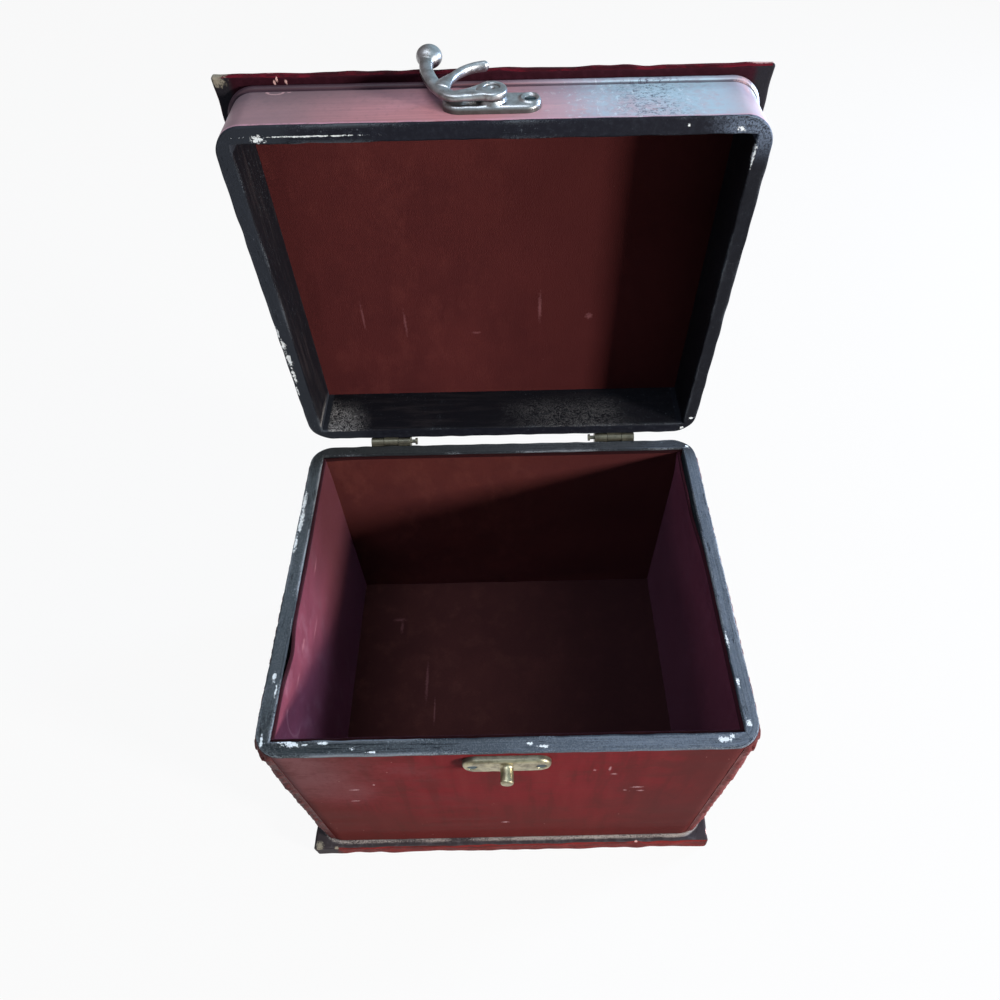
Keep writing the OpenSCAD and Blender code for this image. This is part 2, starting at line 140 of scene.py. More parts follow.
def ease(value: Array, low: float, high: float) -> Array:
    """Smooth step: 0 at low, 1 at high, with level ends.

    Args:
        value: Numbers to map.
        low: Where the step starts.
        high: Where it ends.

    Returns:
        Numbers from 0 to 1.
    """
    t = np.clip((value - low) / (high - low), 0, 1)
    return t * t * (3 - 2 * t)


def ripple(points: Array, wavelength: float, seed: int) -> Array:
    """Smooth random field: the sum of 14 sines along seeded directions, about -1 to 1.

    Args:
        points: Places, with X, Y, Z on the last axis.
        wavelength: Usual distance between two crests.
        seed: Picks the directions and phases.

    Returns:
        One number for each place.
    """
    rng = np.random.default_rng(seed)
    ways = rng.normal(size=(14, 3))
    ways *= (2 * math.pi / wavelength * rng.uniform(0.6, 1.3, 14) / np.linalg.norm(ways, axis=1))[:, None]
    return np.sin(points @ ways.T + rng.uniform(0, 2 * math.pi, 14)).sum(-1) / 4


# Meshes


@dataclass(frozen=True)
class Shell:
    """Closed mesh in millimetres: its points, four-sided faces, end faces, and values at its points."""

    points: Array
    quads: Array
    caps: tuple[Array, ...]
    values: dict[str, Array]

    def volume(self) -> float:
        """Signed volume, which is positive when the faces point outwards.

        Returns:
            Cubic millimetres.
        """
        p = self.points
        total = 0.0
        for face in [self.quads, *[c[None] for c in self.caps]]:
            for k in range(1, face.shape[1] - 1):
                a, b, c = p[face[:, 0]], p[face[:, k]], p[face[:, k + 1]]
                total += float((a * np.cross(b, c)).sum()) / 6
        return total


def loft(rings: Array, values: dict[str, Array] | None = None, endless: bool = False) -> Shell:
    """Joins a row of closed loops: neighbours in a loop and in the row make four-sided faces.

    Args:
        rings: Points as (loop, place in the loop, X Y Z).
        values: Numbers for the points, each shaped (loop, place in the loop).
        endless: True where the last loop meets the first, so there are no end faces.

    Returns:
        The closed shell, with its faces outwards.
    """
    n, m = rings.shape[:2]
    i, j = np.meshgrid(np.arange(n if endless else n - 1), np.arange(m), indexing="ij")
    after, beside = (i + 1) % n, (j + 1) % m
    quads = np.stack([i * m + j, after * m + j, after * m + beside, i * m + beside], -1).reshape(-1, 4)
    caps = () if endless else (np.arange(m), np.arange(m)[::-1] + (n - 1) * m)
    flat = {name: np.broadcast_to(v, (n, m)).ravel() for name, v in (values or {}).items()}
    shell = Shell(rings.reshape(-1, 3), quads, caps, flat)
    if shell.volume() < 0:
        shell = replace(shell, quads=quads[:, ::-1], caps=tuple(c[::-1] for c in caps))
    return shell


def stacked(plans: Array, heights: Array) -> Array:
    """Loops in plan, each lifted to its height.

    Args:
        plans: Points as (loop, place, X Y).
        heights: One height for each loop.

    Returns:
        Points as (loop, place, X Y Z).
    """
    return np.concatenate([plans, np.broadcast_to(heights[:, None, None], plans.shape[:2] + (1,))], -1)


def shaken(points: Array, waves: Triple, seed: int) -> Array:
    """Three ripples over the same places, one for each axis.

    Args:
        points: Places, with X, Y, Z on the last axis.
        waves: Wavelength of each axis.
        seed: Seed of the first; the others follow it.

    Returns:
        A shift for each place.
    """
    return np.stack([ripple(points, wave, seed + k) for k, wave in enumerate(waves)], -1)


def joined(*shells: Shell) -> Shell:
    """Several shells as one mesh, with no values.

    Args:
        shells: The shells.

    Returns:
        One shell.
    """
    starts = np.cumsum([0] + [len(s.points) for s in shells])
    return Shell(
        np.concatenate([s.points for s in shells]),
        np.concatenate([s.quads + k for s, k in zip(shells, starts)]),
        tuple(c + k for s, k in zip(shells, starts) for c in s.caps),
        {},
    )


def make_object(name: str, shell: Shell) -> bpy.types.Object:
    """Puts a shell into the scene as a smooth-shaded object at the origin.

    Args:
        name: Name of the piece.
        shell: Its mesh in millimetres.

    Returns:
        The object.
    """
    mesh = bpy.data.meshes.new(name)
    quads, caps = shell.quads, shell.caps
    sizes = np.concatenate([np.full(len(quads), 4), [len(c) for c in caps]]).astype(np.int32)
    corners = np.concatenate([quads.ravel(), *caps]).astype(np.int32)
    mesh.vertices.add(len(shell.points))
    mesh.vertices.foreach_set("co", (shell.points * MM).astype(np.float32).ravel())
    mesh.loops.add(len(corners))
    mesh.loops.foreach_set("vertex_index", corners)
    mesh.polygons.add(len(sizes))
    mesh.polygons.foreach_set("loop_start", (np.cumsum(sizes) - sizes).astype(np.int32))
    mesh.polygons.foreach_set("use_smooth", np.ones(len(sizes), bool))
    mesh.update(calc_edges=True)
    for label, numbers in shell.values.items():
        mesh.attributes.new(label, "FLOAT", "POINT").data.foreach_set("value", numbers.astype(np.float32))
    mesh.set_sharp_from_angle(angle=math.radians(CREASE_DEGREES))
    made = bpy.data.objects.new(name, mesh)
    bpy.context.scene.collection.objects.link(made)
    return made


def rounded_loop(w: float, d: float, r: float) -> Array:
    """Plan of a rectangle with round corners, anticlockwise from the front left.

    Each side is an even run with a point about every 2 mm, and each corner a quarter circle of 12 steps.

    Args:
        w: Width along X.
        d: Depth along Y.
        r: Radius of the corners.

    Returns:
        Points as (place, X Y). Every loop has the same number of them.
    """
    parts = []
    centres = np.array([(-1, -1), (1, -1), (1, 1), (-1, 1), (-1, -1)]) * [w / 2 - r, d / 2 - r]
    for k, out in enumerate([(0, -1), (1, 0), (0, 1), (-1, 0)]):
        steps = int((BOX.width, BOX.depth)[k % 2] / 2)
        t = np.arange(1, steps)[:, None] / steps
        parts.append(centres[k] + r * np.array(out) + (centres[k + 1] - centres[k]) * t)
        parts.append(arc(tuple(centres[k + 1]), r, 90 * k - 90, 90 * k, 12))
    return np.concatenate(parts)


def arc(centre: tuple[float, float], r: float, start: float, end: float, steps: int) -> Array:
    """Points of a circle's arc.

    Args:
        centre: Centre of the circle.
        r: Its radius.
        start: Angle of the first point, in degrees.
        end: Angle of the last point, in degrees.
        steps: Number of steps between them.

    Returns:
        Points as (place, 2).
    """
    a = np.radians(np.linspace(start, end, steps + 1))
    return np.array(centre) + r * np.stack([np.cos(a), np.sin(a)], -1)


@dataclass(frozen=True)
class BoxSizes:
    """Driving sizes of the box, as in the part's source."""

    width: float = 175.0
    depth: float = 142.0
    base_t: float = 9.5
    base_over: float = 3.5
    rim: float = 124.0
    wall_t: float = 5.6
    corner_r: float = 10.0
    floor: float = 12.5
    lining_t: float = 1.2
    floor_lining_t: float = 1.5
    lining_drop: float = 0.8
    cover_wrap: float = 6.5
    cover_drop: float = 1.6
    lid_rim: float = 124.4
    lid_h: float = 26.0
    top_t: float = 3.0
    top_over: float = 3.6
    bead_r: float = 1.3
    card_t: float = 1.4
    cloth_t: float = 1.2
    hasp_x: float = -0.4
    catch_down: float = 7.8
    plate_t: float = 2.3

    @property
    def inner_w(self) -> float:
        """Width between the walls."""
        return self.width - 2 * self.wall_t

    @property
    def inner_d(self) -> float:
        """Depth between the walls."""
        return self.depth - 2 * self.wall_t


BOX = BoxSizes()


@dataclass(frozen=True)
class Placing:
    """A body and its turn about the hinge axis, which carries what is drawn shut to where it stands."""

    body: Body
    axis_y: float = 0.0
    axis_z: float = 0.0
    degrees: float = 0.0

    @property
    def upright(self) -> bool:
        """Whether depth and height trade places, to the nearest quarter turn."""
        return self.degrees > 45

    def place(self, points: Array) -> Array:
        """Turns points about the line through (axis_y, axis_z) along X, backwards for the lid.

        Args:
            points: Places, with X, Y, Z on the last axis.

        Returns:
            The turned places.
        """
        cos, sin = math.cos(math.radians(self.degrees)), math.sin(math.radians(self.degrees))
        y, z = points[..., 1] - self.axis_y, points[..., 2] - self.axis_z
        back, up = self.axis_y + y * cos + z * sin, self.axis_z - y * sin + z * cos
        return np.stack([points[..., 0], back, up], -1)

    def shell(self, shell: Shell) -> Shell:
        """A shell with its points placed."""
        return replace(shell, points=self.place(shell.points))


@dataclass(frozen=True)
class Mark:
    """A chip, scratch or worn patch: an ellipsoid in millimetres, drawn shut like its piece.

    With a curl it is a bent stroke instead: the half of the ellipsoid's shell that lies low on the axis, curl
    radii thick.
    """

    x: float
    y: float
    z: float
    rx: float
    ry: float
    rz: float
    curl: float = 0.0
    axis: int = 2

    @property
    def centre(self) -> Array:
        """Its middle."""
        return np.array([self.x, self.y, self.z])

    @property
    def radii(self) -> Array:
        """Its radii along X, Y and Z."""
        return np.array([self.rx, self.ry, self.rz])

    def reach(self, points: Array) -> Array:
        """Distance from the mark's middle in shares of its radii, at each point."""
        return np.linalg.norm((points - self.centre) / self.radii, axis=-1)

    def placed(self, placing: Placing) -> "Mark":
        """The mark where the placing puts it, with its radii turned by a quarter where the lid stands open.

        Args:
            placing: Where the mark's piece stands.

        Returns:
            The mark there.
        """
        x, y, z = placing.place(self.centre)
        if placing.upright:
            return Mark(x, y, z, self.rx, self.rz, self.ry, self.curl, 1)
        return replace(self, x=x, y=y, z=z)


STILL = Placing(Body.BOX)


def level_marks(z: float, *rows: tuple[float, ...]) -> tuple[Mark, ...]:
    """Marks at one height.

    Args:
        z: The height.
        rows: X, Y and the three radii of each.

    Returns:
        The marks.
    """
    return tuple(Mark(x, y, z, *radii) for x, y, *radii in rows)


# Shader writing


class Level:
    """A value that changes over the surface: one socket, with the arithmetic that the finishes use."""

    def __init__(self, graph: "Graph", socket: bpy.types.NodeSocket) -> None:
        """Keeps the graph and the socket."""
        self.graph = graph
        self.socket = socket

    def __add__(self, other: "Level | float") -> "Level":
        """Sum."""
        return self.graph.math("ADD", self, other)

    __radd__ = __add__

    def __sub__(self, other: "Level | float") -> "Level":
        """Difference."""
        return self.graph.math("SUBTRACT", self, other)

    def __rsub__(self, other: float) -> "Level":
        """Difference with the number first."""
        return self.graph.math("SUBTRACT", other, self)

    def __mul__(self, other: "Level | float") -> "Level":
        """Product."""
        return self.graph.math("MULTIPLY", self, other)

    __rmul__ = __mul__

    def __or__(self, other: "Level") -> "Level":
        """The larger of two masks."""
        return self.graph.math("MAXIMUM", self, other)

    def __and__(self, other: "Level") -> "Level":
        """The smaller of two masks."""
        return self.graph.math("MINIMUM", self, other)

    def __abs__(self) -> "Level":
        """Size without its sign."""
        return self.graph.math("ABSOLUTE", self)

    def sway(self, amount: float) -> "Level":
        """The level about its middle: from -amount / 2 to amount / 2 for a noise."""
        return (self - 0.5) * amount

    def step(self, low: float, high: float) -> "Level":
        """Smooth step from 0 at low to 1 at high; low may be the larger.

        Args:
            low: Where the step starts.
            high: Where it ends.

        Returns:
            The stepped level.
        """
        if low > high:
            return 1 - self.step(high, low)
        inputs = {0: self, 1: low, 2: high, 3: 0.0, 4: 1.0}
        return self.graph.node("ShaderNodeMapRange", {"interpolation_type": "SMOOTHSTEP"}, inputs)


class Graph:
    """The node tree of one finish, or of the world."""

    def __init__(
        self, owner: bpy.types.Material | bpy.types.World, output: str = "ShaderNodeOutputMaterial"
    ) -> None:
        """Empties the owner's tree and gives it its output.

        Args:
            owner: The material or world.
            output: Blender's name of the output's type.
        """
        self.owner = owner
        owner.use_nodes = True
        self.tree = owner.node_tree
        self.tree.nodes.clear()
        self.out = self.tree.nodes.new(output)

    @staticmethod
    def finish_of(name: str) -> "Graph":
        """Graph of a new material."""
        return Graph(bpy.data.materials.new(name))

    def node(self, kind: str, settings: dict, inputs: dict, output: int | str = 0) -> Level:
        """Adds one node.

        Args:
            kind: Blender's name of the node's type.
            settings: The node's own properties, set first.
            inputs: Values or levels by the socket's name or number.
            output: Name or number of the socket to return.

        Returns:
            The chosen output.
        """
        made = self.tree.nodes.new(kind)
        for name, value in settings.items():
            setattr(made, name, value)
        for key, value in inputs.items():
            if isinstance(value, Level):
                self.tree.links.new(value.socket, made.inputs[key])
            else:
                made.inputs[key].default_value = value
        return Level(self, made.outputs[output])

    def math(self, operation: str, *values: "Level | float") -> Level:
        """A Math node over one or two values."""
        return self.node("ShaderNodeMath", {"operation": operation}, dict(enumerate(values)))

    def vector(self, operation: str, *values: "Level | tuple", output: int = 0) -> Level:
        """A Vector Math node over one to three vectors."""
        return self.node("ShaderNodeVectorMath", {"operation": operation}, dict(enumerate(values)), output)

    def place(self) -> Level:
        """Place on the piece, in millimetres."""
        here = self.node("ShaderNodeTexCoord", {}, {}, "Object")
        return self.vector("MULTIPLY", here, (1000.0, 1000.0, 1000.0))

    def axes(self, here: Level) -> tuple[Level, Level, Level]:
        """X, Y and Z of a vector."""
        x, y, z = self.node("ShaderNodeSeparateXYZ", {}, {0: here}).socket.node.outputs
        return Level(self, x), Level(self, y), Level(self, z)

    def value(self, name: str) -> Level:
        """A value that the mesh carries at its points."""
        return self.node("ShaderNodeAttribute", {"attribute_name": name}, {}, "Fac")

    def stretch(self, here: Level, x: float, y: float, z: float) -> Level:
        """A place scaled by each axis, so that patterns stretch along the smallest."""
        return self.vector("MULTIPLY", here, (x, y, z))

    def noise(
        self, here: Level, scale: float, detail: float = 3.0, rough: float = 0.55, twist: float = 0.0
    ) -> Level:
        """Noise from 0 to 1 with its scale per millimetre."""
        inputs = {"Vector": here, "Scale": scale, "Detail": detail, "Roughness": rough, "Distortion": twist}
        return self.node("ShaderNodeTexNoise", {}, inputs)

    def cells(self, here: Level, scale: float) -> Level:
        """Distance to the nearest cell centre."""
        return self.node("ShaderNodeTexVoronoi", {}, {"Vector": here, "Scale": scale}, "Distance")

    def mix(self, mask: "Level | float", first: "Level | Colour", second: "Level | Colour") -> Level:
        """First colour where the mask is 0 and second where it is 1."""
        return self.node("ShaderNodeMix", {"data_type": "RGBA"}, {0: mask, 6: first, 7: second}, 2)

    def blend(self, mask: Level, first: "Level | float", second: "Level | float") -> Level:
        """First number where the mask is 0 and second where it is 1."""
        return self.node("ShaderNodeMix", {"data_type": "FLOAT"}, {0: mask, 2: first, 3: second}, 0)

    def coats(self, colour: "Level | Colour", *coats: "tuple[Level | float, Level | Colour]") -> Level:
        """Lays coats over a colour in turn: each is a mask and the colour that it shows where the mask is 1.

        Args:
            colour: The lowest colour.
            coats: Masks and colours, the lowest first.

        Returns:
            The colour on top.
        """
        for mask, over in coats:
            colour = self.mix(mask, colour, over)
        return colour

    def marks(
        self, here: Level, marks: tuple[Mark, ...], ragged: Level, soft: float, broken: float = 3.2
    ) -> Level:
        """Mask of a list of marks, with edges broken up by a noise.

        Args:
            here: Place on the piece.
            marks: The marks, placed as the piece is.
            ragged: Noise from 0 to 1 that eats into the edges.
            soft: Width of the edge in shares of the radius.
            broken: How far the noise breaks a mark up.

        Returns:
            1 inside the marks and 0 outside.
        """
        nearest: Level | None = None
        for mark in marks:
            scale, shift = tuple(1 / mark.radii), tuple(-mark.centre / mark.radii)
            offset = self.vector("MULTIPLY_ADD", here, scale, shift)
            away = self.vector("LENGTH", offset, output=1)
            if mark.curl:
                away = abs(away - 1) * (1 / mark.curl) + self.axes(offset)[mark.axis].step(0, 0.4) * 4
            nearest = away if nearest is None else nearest & away
        return (nearest + ragged.sway(broken)).step(1, 1 - soft)

    def bump(self, height: Level, depth: float) -> Level:
        """Normal from a height of 0 to 1 that stands for depth millimetres."""
        return self.node("ShaderNodeBump", {}, {"Height": height, "Distance": depth * MM, "Strength": 1.0})

    def finish(self, **sockets: "Level | float | Colour") -> bpy.types.Material:
        """Closes the tree with one Principled shader; a socket's name has _ for its spaces.

        Args:
            sockets: What each socket shows.

        Returns:
            The material.
        """
        inputs = {name.replace("_", " "): value for name, value in sockets.items()}
        shader = self.node("ShaderNodeBsdfPrincipled", {}, inputs)
        self.tree.links.new(shader.socket, self.out.inputs["Surface"])
        return self.owner


# Finishes


@dataclass(frozen=True)
class Weather:
    """The fields that every timber finish uses."""

    here: Level
    side: Level
    x: Level
    y: Level
    z: Level
    drop: Level
    inset: Level
    edge: Level
    streaks: Level
    fine: Level
    broad: Level
    mottle: Level
    crumbs: Level


@dataclass(frozen=True)
class Timber:
    """Lacquer on the outside of a wall or rail, and black paint on its rim and inside.

    The mesh gives run (place along the side), drop (distance from the rim), inset (distance in from the outer
    face) and edge (nearness to an edge), so that streaks and cracks follow each side.
    """

    name: str
    chips: tuple[Mark, ...]
    scuffs: tuple[Mark, ...]
    cracks: tuple[Mark, ...] = ()
    specular: ClassVar[float] = 0.1

    def weather(self, g: Graph) -> Weather:
        """Fields from the object's place and the mesh's values.

        Args:
            g: The graph.

        Returns:
            The fields.
        """
        here = g.place()
        x, y, z = g.axes(here)
        run, drop, inset = g.value("run"), g.value("drop"), g.value("inset")
        side = g.node("ShaderNodeCombineXYZ", {}, {0: run, 1: inset, 2: drop})
        return Weather(
            here=here,
            side=side,
            x=x,
            y=y,
            z=z,
            drop=drop,
            inset=inset,
            edge=g.value("edge"),
            streaks=g.noise(g.stretch(side, 0.02, 0.5, 0.8), 1.0, 6.0, 0.66),
            fine=g.noise(g.stretch(side, 0.03, 1.0, 1.0), 3.0, 4.0, 0.7),
            broad=g.noise(here, 0.03, 3.0),
            mottle=g.noise(here, 0.45, 5.0, 0.65),
            crumbs=g.noise(here, 2.4, 4.0, 0.7),
        )

    def lacquer(self, g: Graph, w: Weather) -> Level:
        """Colour of the lacquer."""
        raise NotImplementedError

    def paint(self, g: Graph, w: Weather) -> Level:
        """Colour of the black paint."""
        raise NotImplementedError

    def gloss(self, w: Weather) -> Level | float:
        """Weight of the clear coat on the lacquer."""
        return 0.0

    def worn_edges(self, g: Graph, w: Weather, colour: Level, rub: float, pale: Colour) -> Level:
        """Lays rubbed edges, cracks, flecks and the listed chips over the paint.

        Args:
            g: The graph.
            w: Its fields.
            colour: Paint underneath.
            rub: How much the edges and faces are rubbed, from 0 to 1.
            pale: Colour of the rubbed edges.

        Returns:
            The colour on top.
        """
        cracks = g.noise(g.stretch(w.side, 0.035, 0.9, 0.5), 1.0, 2.0, 0.5)
        crack = abs(cracks - 0.5).step(0.014, 0.004) * (w.broad + w.mottle.sway(0.6)).step(0.44, 0.54)
        if self.cracks:
            crack = crack | g.marks(w.here, self.cracks, w.mottle, 0.3, 1.6)
        rubbed = w.edge * (w.crumbs + w.broad.sway(1.2)).step(0.5, 0.62)
        flecks = g.cells(w.here, 0.42).step(0.13, 0.06) * (w.mottle + (w.broad - 0.5)).step(0.55, 0.62)
        pepper = g.noise(w.here, 3.4, 2.0, 0.5).step(0.66, 0.72) * (w.broad + (w.mottle - 0.5)).step(0.5, 0.6)
        colour = g.coats(
            colour,
            (crack * 0.85, paint(14, 17, 22)),
            (rubbed * rub, pale),
            (flecks * rub, pale),
            (pepper * rub * 1.4, pale),
        )
        if self.chips:
            broken = g.noise(w.here, 1.15, 4.0, 0.72, 0.6)
            colour = g.mix(g.marks(w.here, self.chips, broken, 0.16, 5.5), colour, paint(224, 228, 228))
        return colour

    def make(self) -> bpy.types.Material:
        """Builds the material.

        Returns:
            The material.
        """
        g = Graph.finish_of(self.name)
        w = self.weather(g)
        rim = (w.drop + w.crumbs.sway(0.5)).step(1.05, 0.75)
        border = rim | (w.inset + w.crumbs.sway(0.3)).step(0.5, 0.9)
        lacquer = self.lacquer(g, w)
        if self.scuffs:
            scuffed = g.marks(w.here, self.scuffs, w.crumbs, 0.5)
            # scuffs are pink, but light blue left of x -80, which paints the highlight on the lid's left
            # front corner
            worn = g.mix(w.x.step(-78, -82), paint(206, 164, 166), paint(186, 212, 236))
            lacquer = g.mix(scuffed * g.blend(w.x.step(20, 34), 0.75, 0.5), lacquer, worn)
        height = g.blend(border, w.streaks * 0.2 + w.fine * 0.12, w.mottle * 0.5 + w.crumbs * 0.35)
        return g.finish(
            Base_Color=g.mix(border, lacquer, self.paint(g, w)),
            Roughness=g.blend(border, 0.36 + w.fine * 0.2, 0.5 + w.mottle * 0.2),
            Specular_IOR_Level=self.specular,
            Coat_Weight=(1.0 - border) * self.gloss(w),
            Coat_Roughness=0.2,
            Normal=g.bump(height, 0.16),
        )


class BoxTimber(Timber):
    """Walls of the box: red in the front's middle, brown at its ends and foot, with a painted mauve-grey
    sheen at the upper left.
    """

    specular: ClassVar[float] = 0.0

    def lacquer(self, g: Graph, w: Weather) -> Level:
        """Colour of the lacquer.

        Args:
            g: The graph.
            w: Its fields.

        Returns:
            The colour.
        """
        bands = g.noise(g.stretch(w.side, 0.16, 0.1, 0.02), 1.0, 3.0, 0.55)
        dull = g.noise(g.stretch(w.here, 0.05, 0.05, 0.09), 1.0, 6.0, 0.65)
        wander = w.broad.sway(70) + w.mottle.sway(16)
        across, down = w.x + wander, w.drop + wander
        ends = (abs(w.x) + wander).step(38, 86) * g.blend(bands, 0.5, 0.9)
        # painted sheen: the upper left is painted mauve-grey where a soft sheen lies
        painted_sheen = across.step(-26, -76) * down.step(64, 8)
        specks = g.cells(w.here, 0.16).step(0.06, 0.03) * w.mottle.step(0.5, 0.58)
        return g.coats(
            paint(118, 39, 42),
            (w.streaks.step(0.3, 0.7) * 0.45, paint(101, 34, 38)),
            ((bands + w.mottle.sway(0.3)).step(0.5, 0.66) * 0.35, paint(122, 48, 48)),
            (bands.step(0.5, 0.36) * 0.45, paint(84, 38, 36)),
            (ends, paint(92, 48, 45)),
            (down.step(36, 104) * 0.75, paint(92, 42, 39)),
            (painted_sheen * 0.8, paint(120, 82, 84)),
            (dull.step(0.5, 0.68) * 0.45, paint(86, 44, 41)),
            (across.step(24, 80) * 0.6, paint(78, 38, 38)),
            ((w.crumbs * 0.5 + w.mottle * 0.5).step(0.52, 0.68) * 0.35, paint(74, 32, 32)),
            (specks * 0.5, paint(196, 150, 142)),
        )

    def gloss(self, w: Weather) -> Level | float:
        """Weight of the clear coat on the lacquer."""
        return 0.03 + w.streaks.step(0.4, 0.7) * 0.04

    def paint(self, g: Graph, w: Weather) -> Level:
        """Colour of the black paint: greyer in front, with a painted blue reflection towards the right, and
        darker at the back.

        Args:
            g: The graph.
            w: Its fields.

        Returns:
            The colour.
        """
        lines = g.noise(g.stretch(w.side, 0.03, 1.2, 0.5), 1.0, 5.0, 0.75).step(0.38, 0.66)
        flank = w.x.step(-79, -82) * abs(w.y).step(64, 46)
        # painted reflection: the rim is painted blue-grey towards the right, and its pale flecks show more
        # there
        rim_reflection = (w.x + w.broad.sway(30)).step(-70, 50)
        colour = g.coats(
            paint(46, 50, 51),
            (lines, paint(62, 67, 68)),
            (w.mottle.step(0.48, 0.7) * 0.5, paint(40, 44, 47)),
            (flank * 0.7, paint(80, 86, 90)),
            (rim_reflection * 0.85, g.mix(lines, paint(86, 94, 104), paint(112, 121, 133))),
            (w.crumbs.step(0.5, 0.64) * (0.3 + rim_reflection * 0.25), paint(120, 126, 130)),
            (w.crumbs.step(0.48, 0.34) * 0.5, paint(46, 52, 58)),
            (w.y.step(54, 68) * 0.7, paint(46, 46, 46)),
            (w.inset.step(4.7, 5.2) * 0.6, paint(30, 33, 37)),
        )
        return self.worn_edges(g, w, colour, 0.5, paint(164, 170, 176))


class LidTimber(Timber):
    """Rails of the lid: red, with a front painted pale pink as a painted reflection, a painted blue
    reflection on its right, and crazing there.
    """

    def front(self, w: Weather) -> Level:
        """Mask of the front rail, which is the highest where the lid stands open."""
        return w.z.step(250, 262)

    def blue_reflection(self, w: Weather) -> Level:
        """Mask of the painted blue reflection on the right of the front, where the coat is heavier too."""
        return (w.x + w.broad.sway(26)).step(-8, 40) * self.front(w)

    def lacquer(self, g: Graph, w: Weather) -> Level:
        """Colour of the lacquer.

        Args:
            g: The graph.
            w: Its fields.

        Returns:
            The colour.
        """
        front = self.front(w)
        # the painted reflection on the front is greyer to the left
        left = (w.x + w.broad.sway(40)).step(-12, -74)
        # painted shade: the front is darker towards the top board
        high = (w.drop + w.mottle.sway(7)).step(8, 25)
        crazed = (w.x + w.mottle.sway(26)).step(20, 44) * (w.x + w.mottle.sway(12)).step(82, 70)
        # crazing coloured pale blue: real crazing under a painted reflection
        pale = crazed * (w.broad + w.mottle.sway(0.6)).step(0.2, 0.6)
        # painted highlight on the rounded right corner of the front
        corner = w.x.step(82.4, 85.4) * w.mottle.step(0.4, 0.52)
        wander = w.x + w.mottle.sway(20)
        # flecks of the crazing, in the pale and deeper blue of the painted reflection
        patch = front * wander.step(12, 34) * wander.step(74, 56)
        flakes = g.noise(g.stretch(w.side, 0.5, 0.5, 0.3), 1.0, 5.0, 0.7, 0.5)
        cracked = g.noise(g.stretch(w.side, 0.2, 0.6, 0.5), 1.0, 4.0, 0.7, 0.6)
        web = abs(cracked - 0.5).step(0.04, 0.01) * w.mottle.step(0.4, 0.52)
        core = (abs(w.x - 50.0) + w.mottle.sway(30)).step(18, 2)
        groove = BOX.lid_h - 2 * BOX.bead_r
        # painted shade in the groove under the bead
        shaded = w.drop.step(groove - 0.35, groove - 0.1) * w.drop.step(groove + 0.25, groove + 0.05)
        # painted shade on the bead's left half, under the top board's overhang
        above = w.drop.step(groove - 0.8, groove + 0.5) * w.x.step(30, -24)
        # painted highlight: a broken pink line along the edge by the rim
        line = (w.drop + w.crumbs.sway(0.9)).step(2.2, 1.2) * w.mottle.step(0.34, 0.54)
        red = g.mix(w.streaks.step(0.34, 0.66), paint(122, 44, 50), paint(96, 38, 42))
        # painted reflection: the front rail is painted pale pink, the sky's sheen on red lacquer
        painted_lighting = g.mix(w.streaks.step(0.3, 0.7) * 0.7, paint(208, 142, 146), paint(174, 118, 124))
        return g.coats(
            red,
            (front, painted_lighting),
            (w.mottle.step(0.5, 0.7) * 0.2, paint(124, 90, 98)),
            (front * left * 0.75, paint(134, 116, 120)),
            (front * high * g.blend(left, 0.5, 0.85), paint(114, 97, 102)),
            # painted reflection: light blue on the right of the front
            (self.blue_reflection(w) * 0.85, g.mix(high, paint(188, 174, 186), paint(158, 160, 176))),
            (pale * 0.9, paint(172, 200, 214)),
            (front * corner, paint(222, 238, 242)),
            (patch * flakes.step(0.56, 0.66) * 0.7, paint(222, 236, 242)),
            (patch * flakes.step(0.42, 0.34) * 0.35, paint(130, 146, 170)),
            (front * web * core * 0.85, paint(64, 60, 80)),
            (front * shaded * 0.85, paint(58, 50, 64)),
            # the bead is painted greyer, so less of the front's painted reflection shows on it
            (front * w.drop.step(groove + 0.3, groove + 0.5) * 0.5, paint(112, 104, 122)),
            (front * above * 0.9, paint(52, 30, 38)),
            (front * line * 0.7, paint(216, 158, 176)),
        )

    def gloss(self, w: Weather) -> Level | float:
        """Weight of the clear coat on the lacquer."""
        return 0.06 + self.blue_reflection(w) * 0.5

    def paint(self, g: Graph, w: Weather) -> Level:
        """Colour of the black paint: dusty scrapes inside the back and left rails, paler on the lit left as
        painted light. Outside, the left rail is painted lighter and the right rail darker, and the right
        front corner has a bluish painted highlight broken up like rubbed wear.

        Args:
            g: The graph.
            w: Its fields.

        Returns:
            The colour.
        """
        inner = w.inset.step(5, 5.4)
        outer = 1.0 - inner
        scraped = g.noise(g.stretch(w.side, 0.04, 0.3, 0.4), 1.0, 6.0, 0.7, 0.3).step(0.46, 0.7)
        lit = w.x.step(30, -60)
        curly = abs(g.noise(w.here, 0.32, 4.0, 0.6, 3.0) - 0.5).step(0.045, 0.008)
        ragged = w.broad.sway(40) + w.mottle.sway(22)
        corner = (w.x + ragged * 0.5).step(-60, -80) * 2.6 + (abs(w.x - 34.0) + ragged).step(34, 12) * 0.35
        near = (w.drop + ragged * 0.3).step(22, 8) * w.z.step(138, 133)
        dusty = inner * (curly + w.mottle.step(0.46, 0.7) * 0.4) * corner * near
        # painted light: the left rail's outer paint is lighter
        left = (w.x + w.mottle.sway(16)).step(-58, -68) * outer
        # painted shade: the right rail's outer paint is darker
        flank = w.x.step(79, 81) * w.z.step(262, 250) * outer
        # bluish painted highlight on the right front corner, broken up like rubbed wear
        rubbed = (w.x + w.mottle.sway(14)).step(64, 80) * w.z.step(252, 266) * outer
        colour = g.coats(
            paint(22, 23, 31),
            (w.mottle.step(0.42, 0.7), paint(32, 34, 42)),
            (inner, g.mix(scraped * g.blend(lit, 0.1, 0.4), paint(15, 15, 20), paint(54, 49, 50))),
            (dusty * 0.65, paint(158, 156, 154)),
            (left * 0.6, paint(46, 50, 56)),
            (flank * 0.6, paint(14, 15, 20)),
            (rubbed * w.crumbs.step(0.38, 0.56), paint(104, 116, 134)),
        )
        return self.worn_edges(g, w, colour, 0.28, paint(126, 134, 142))


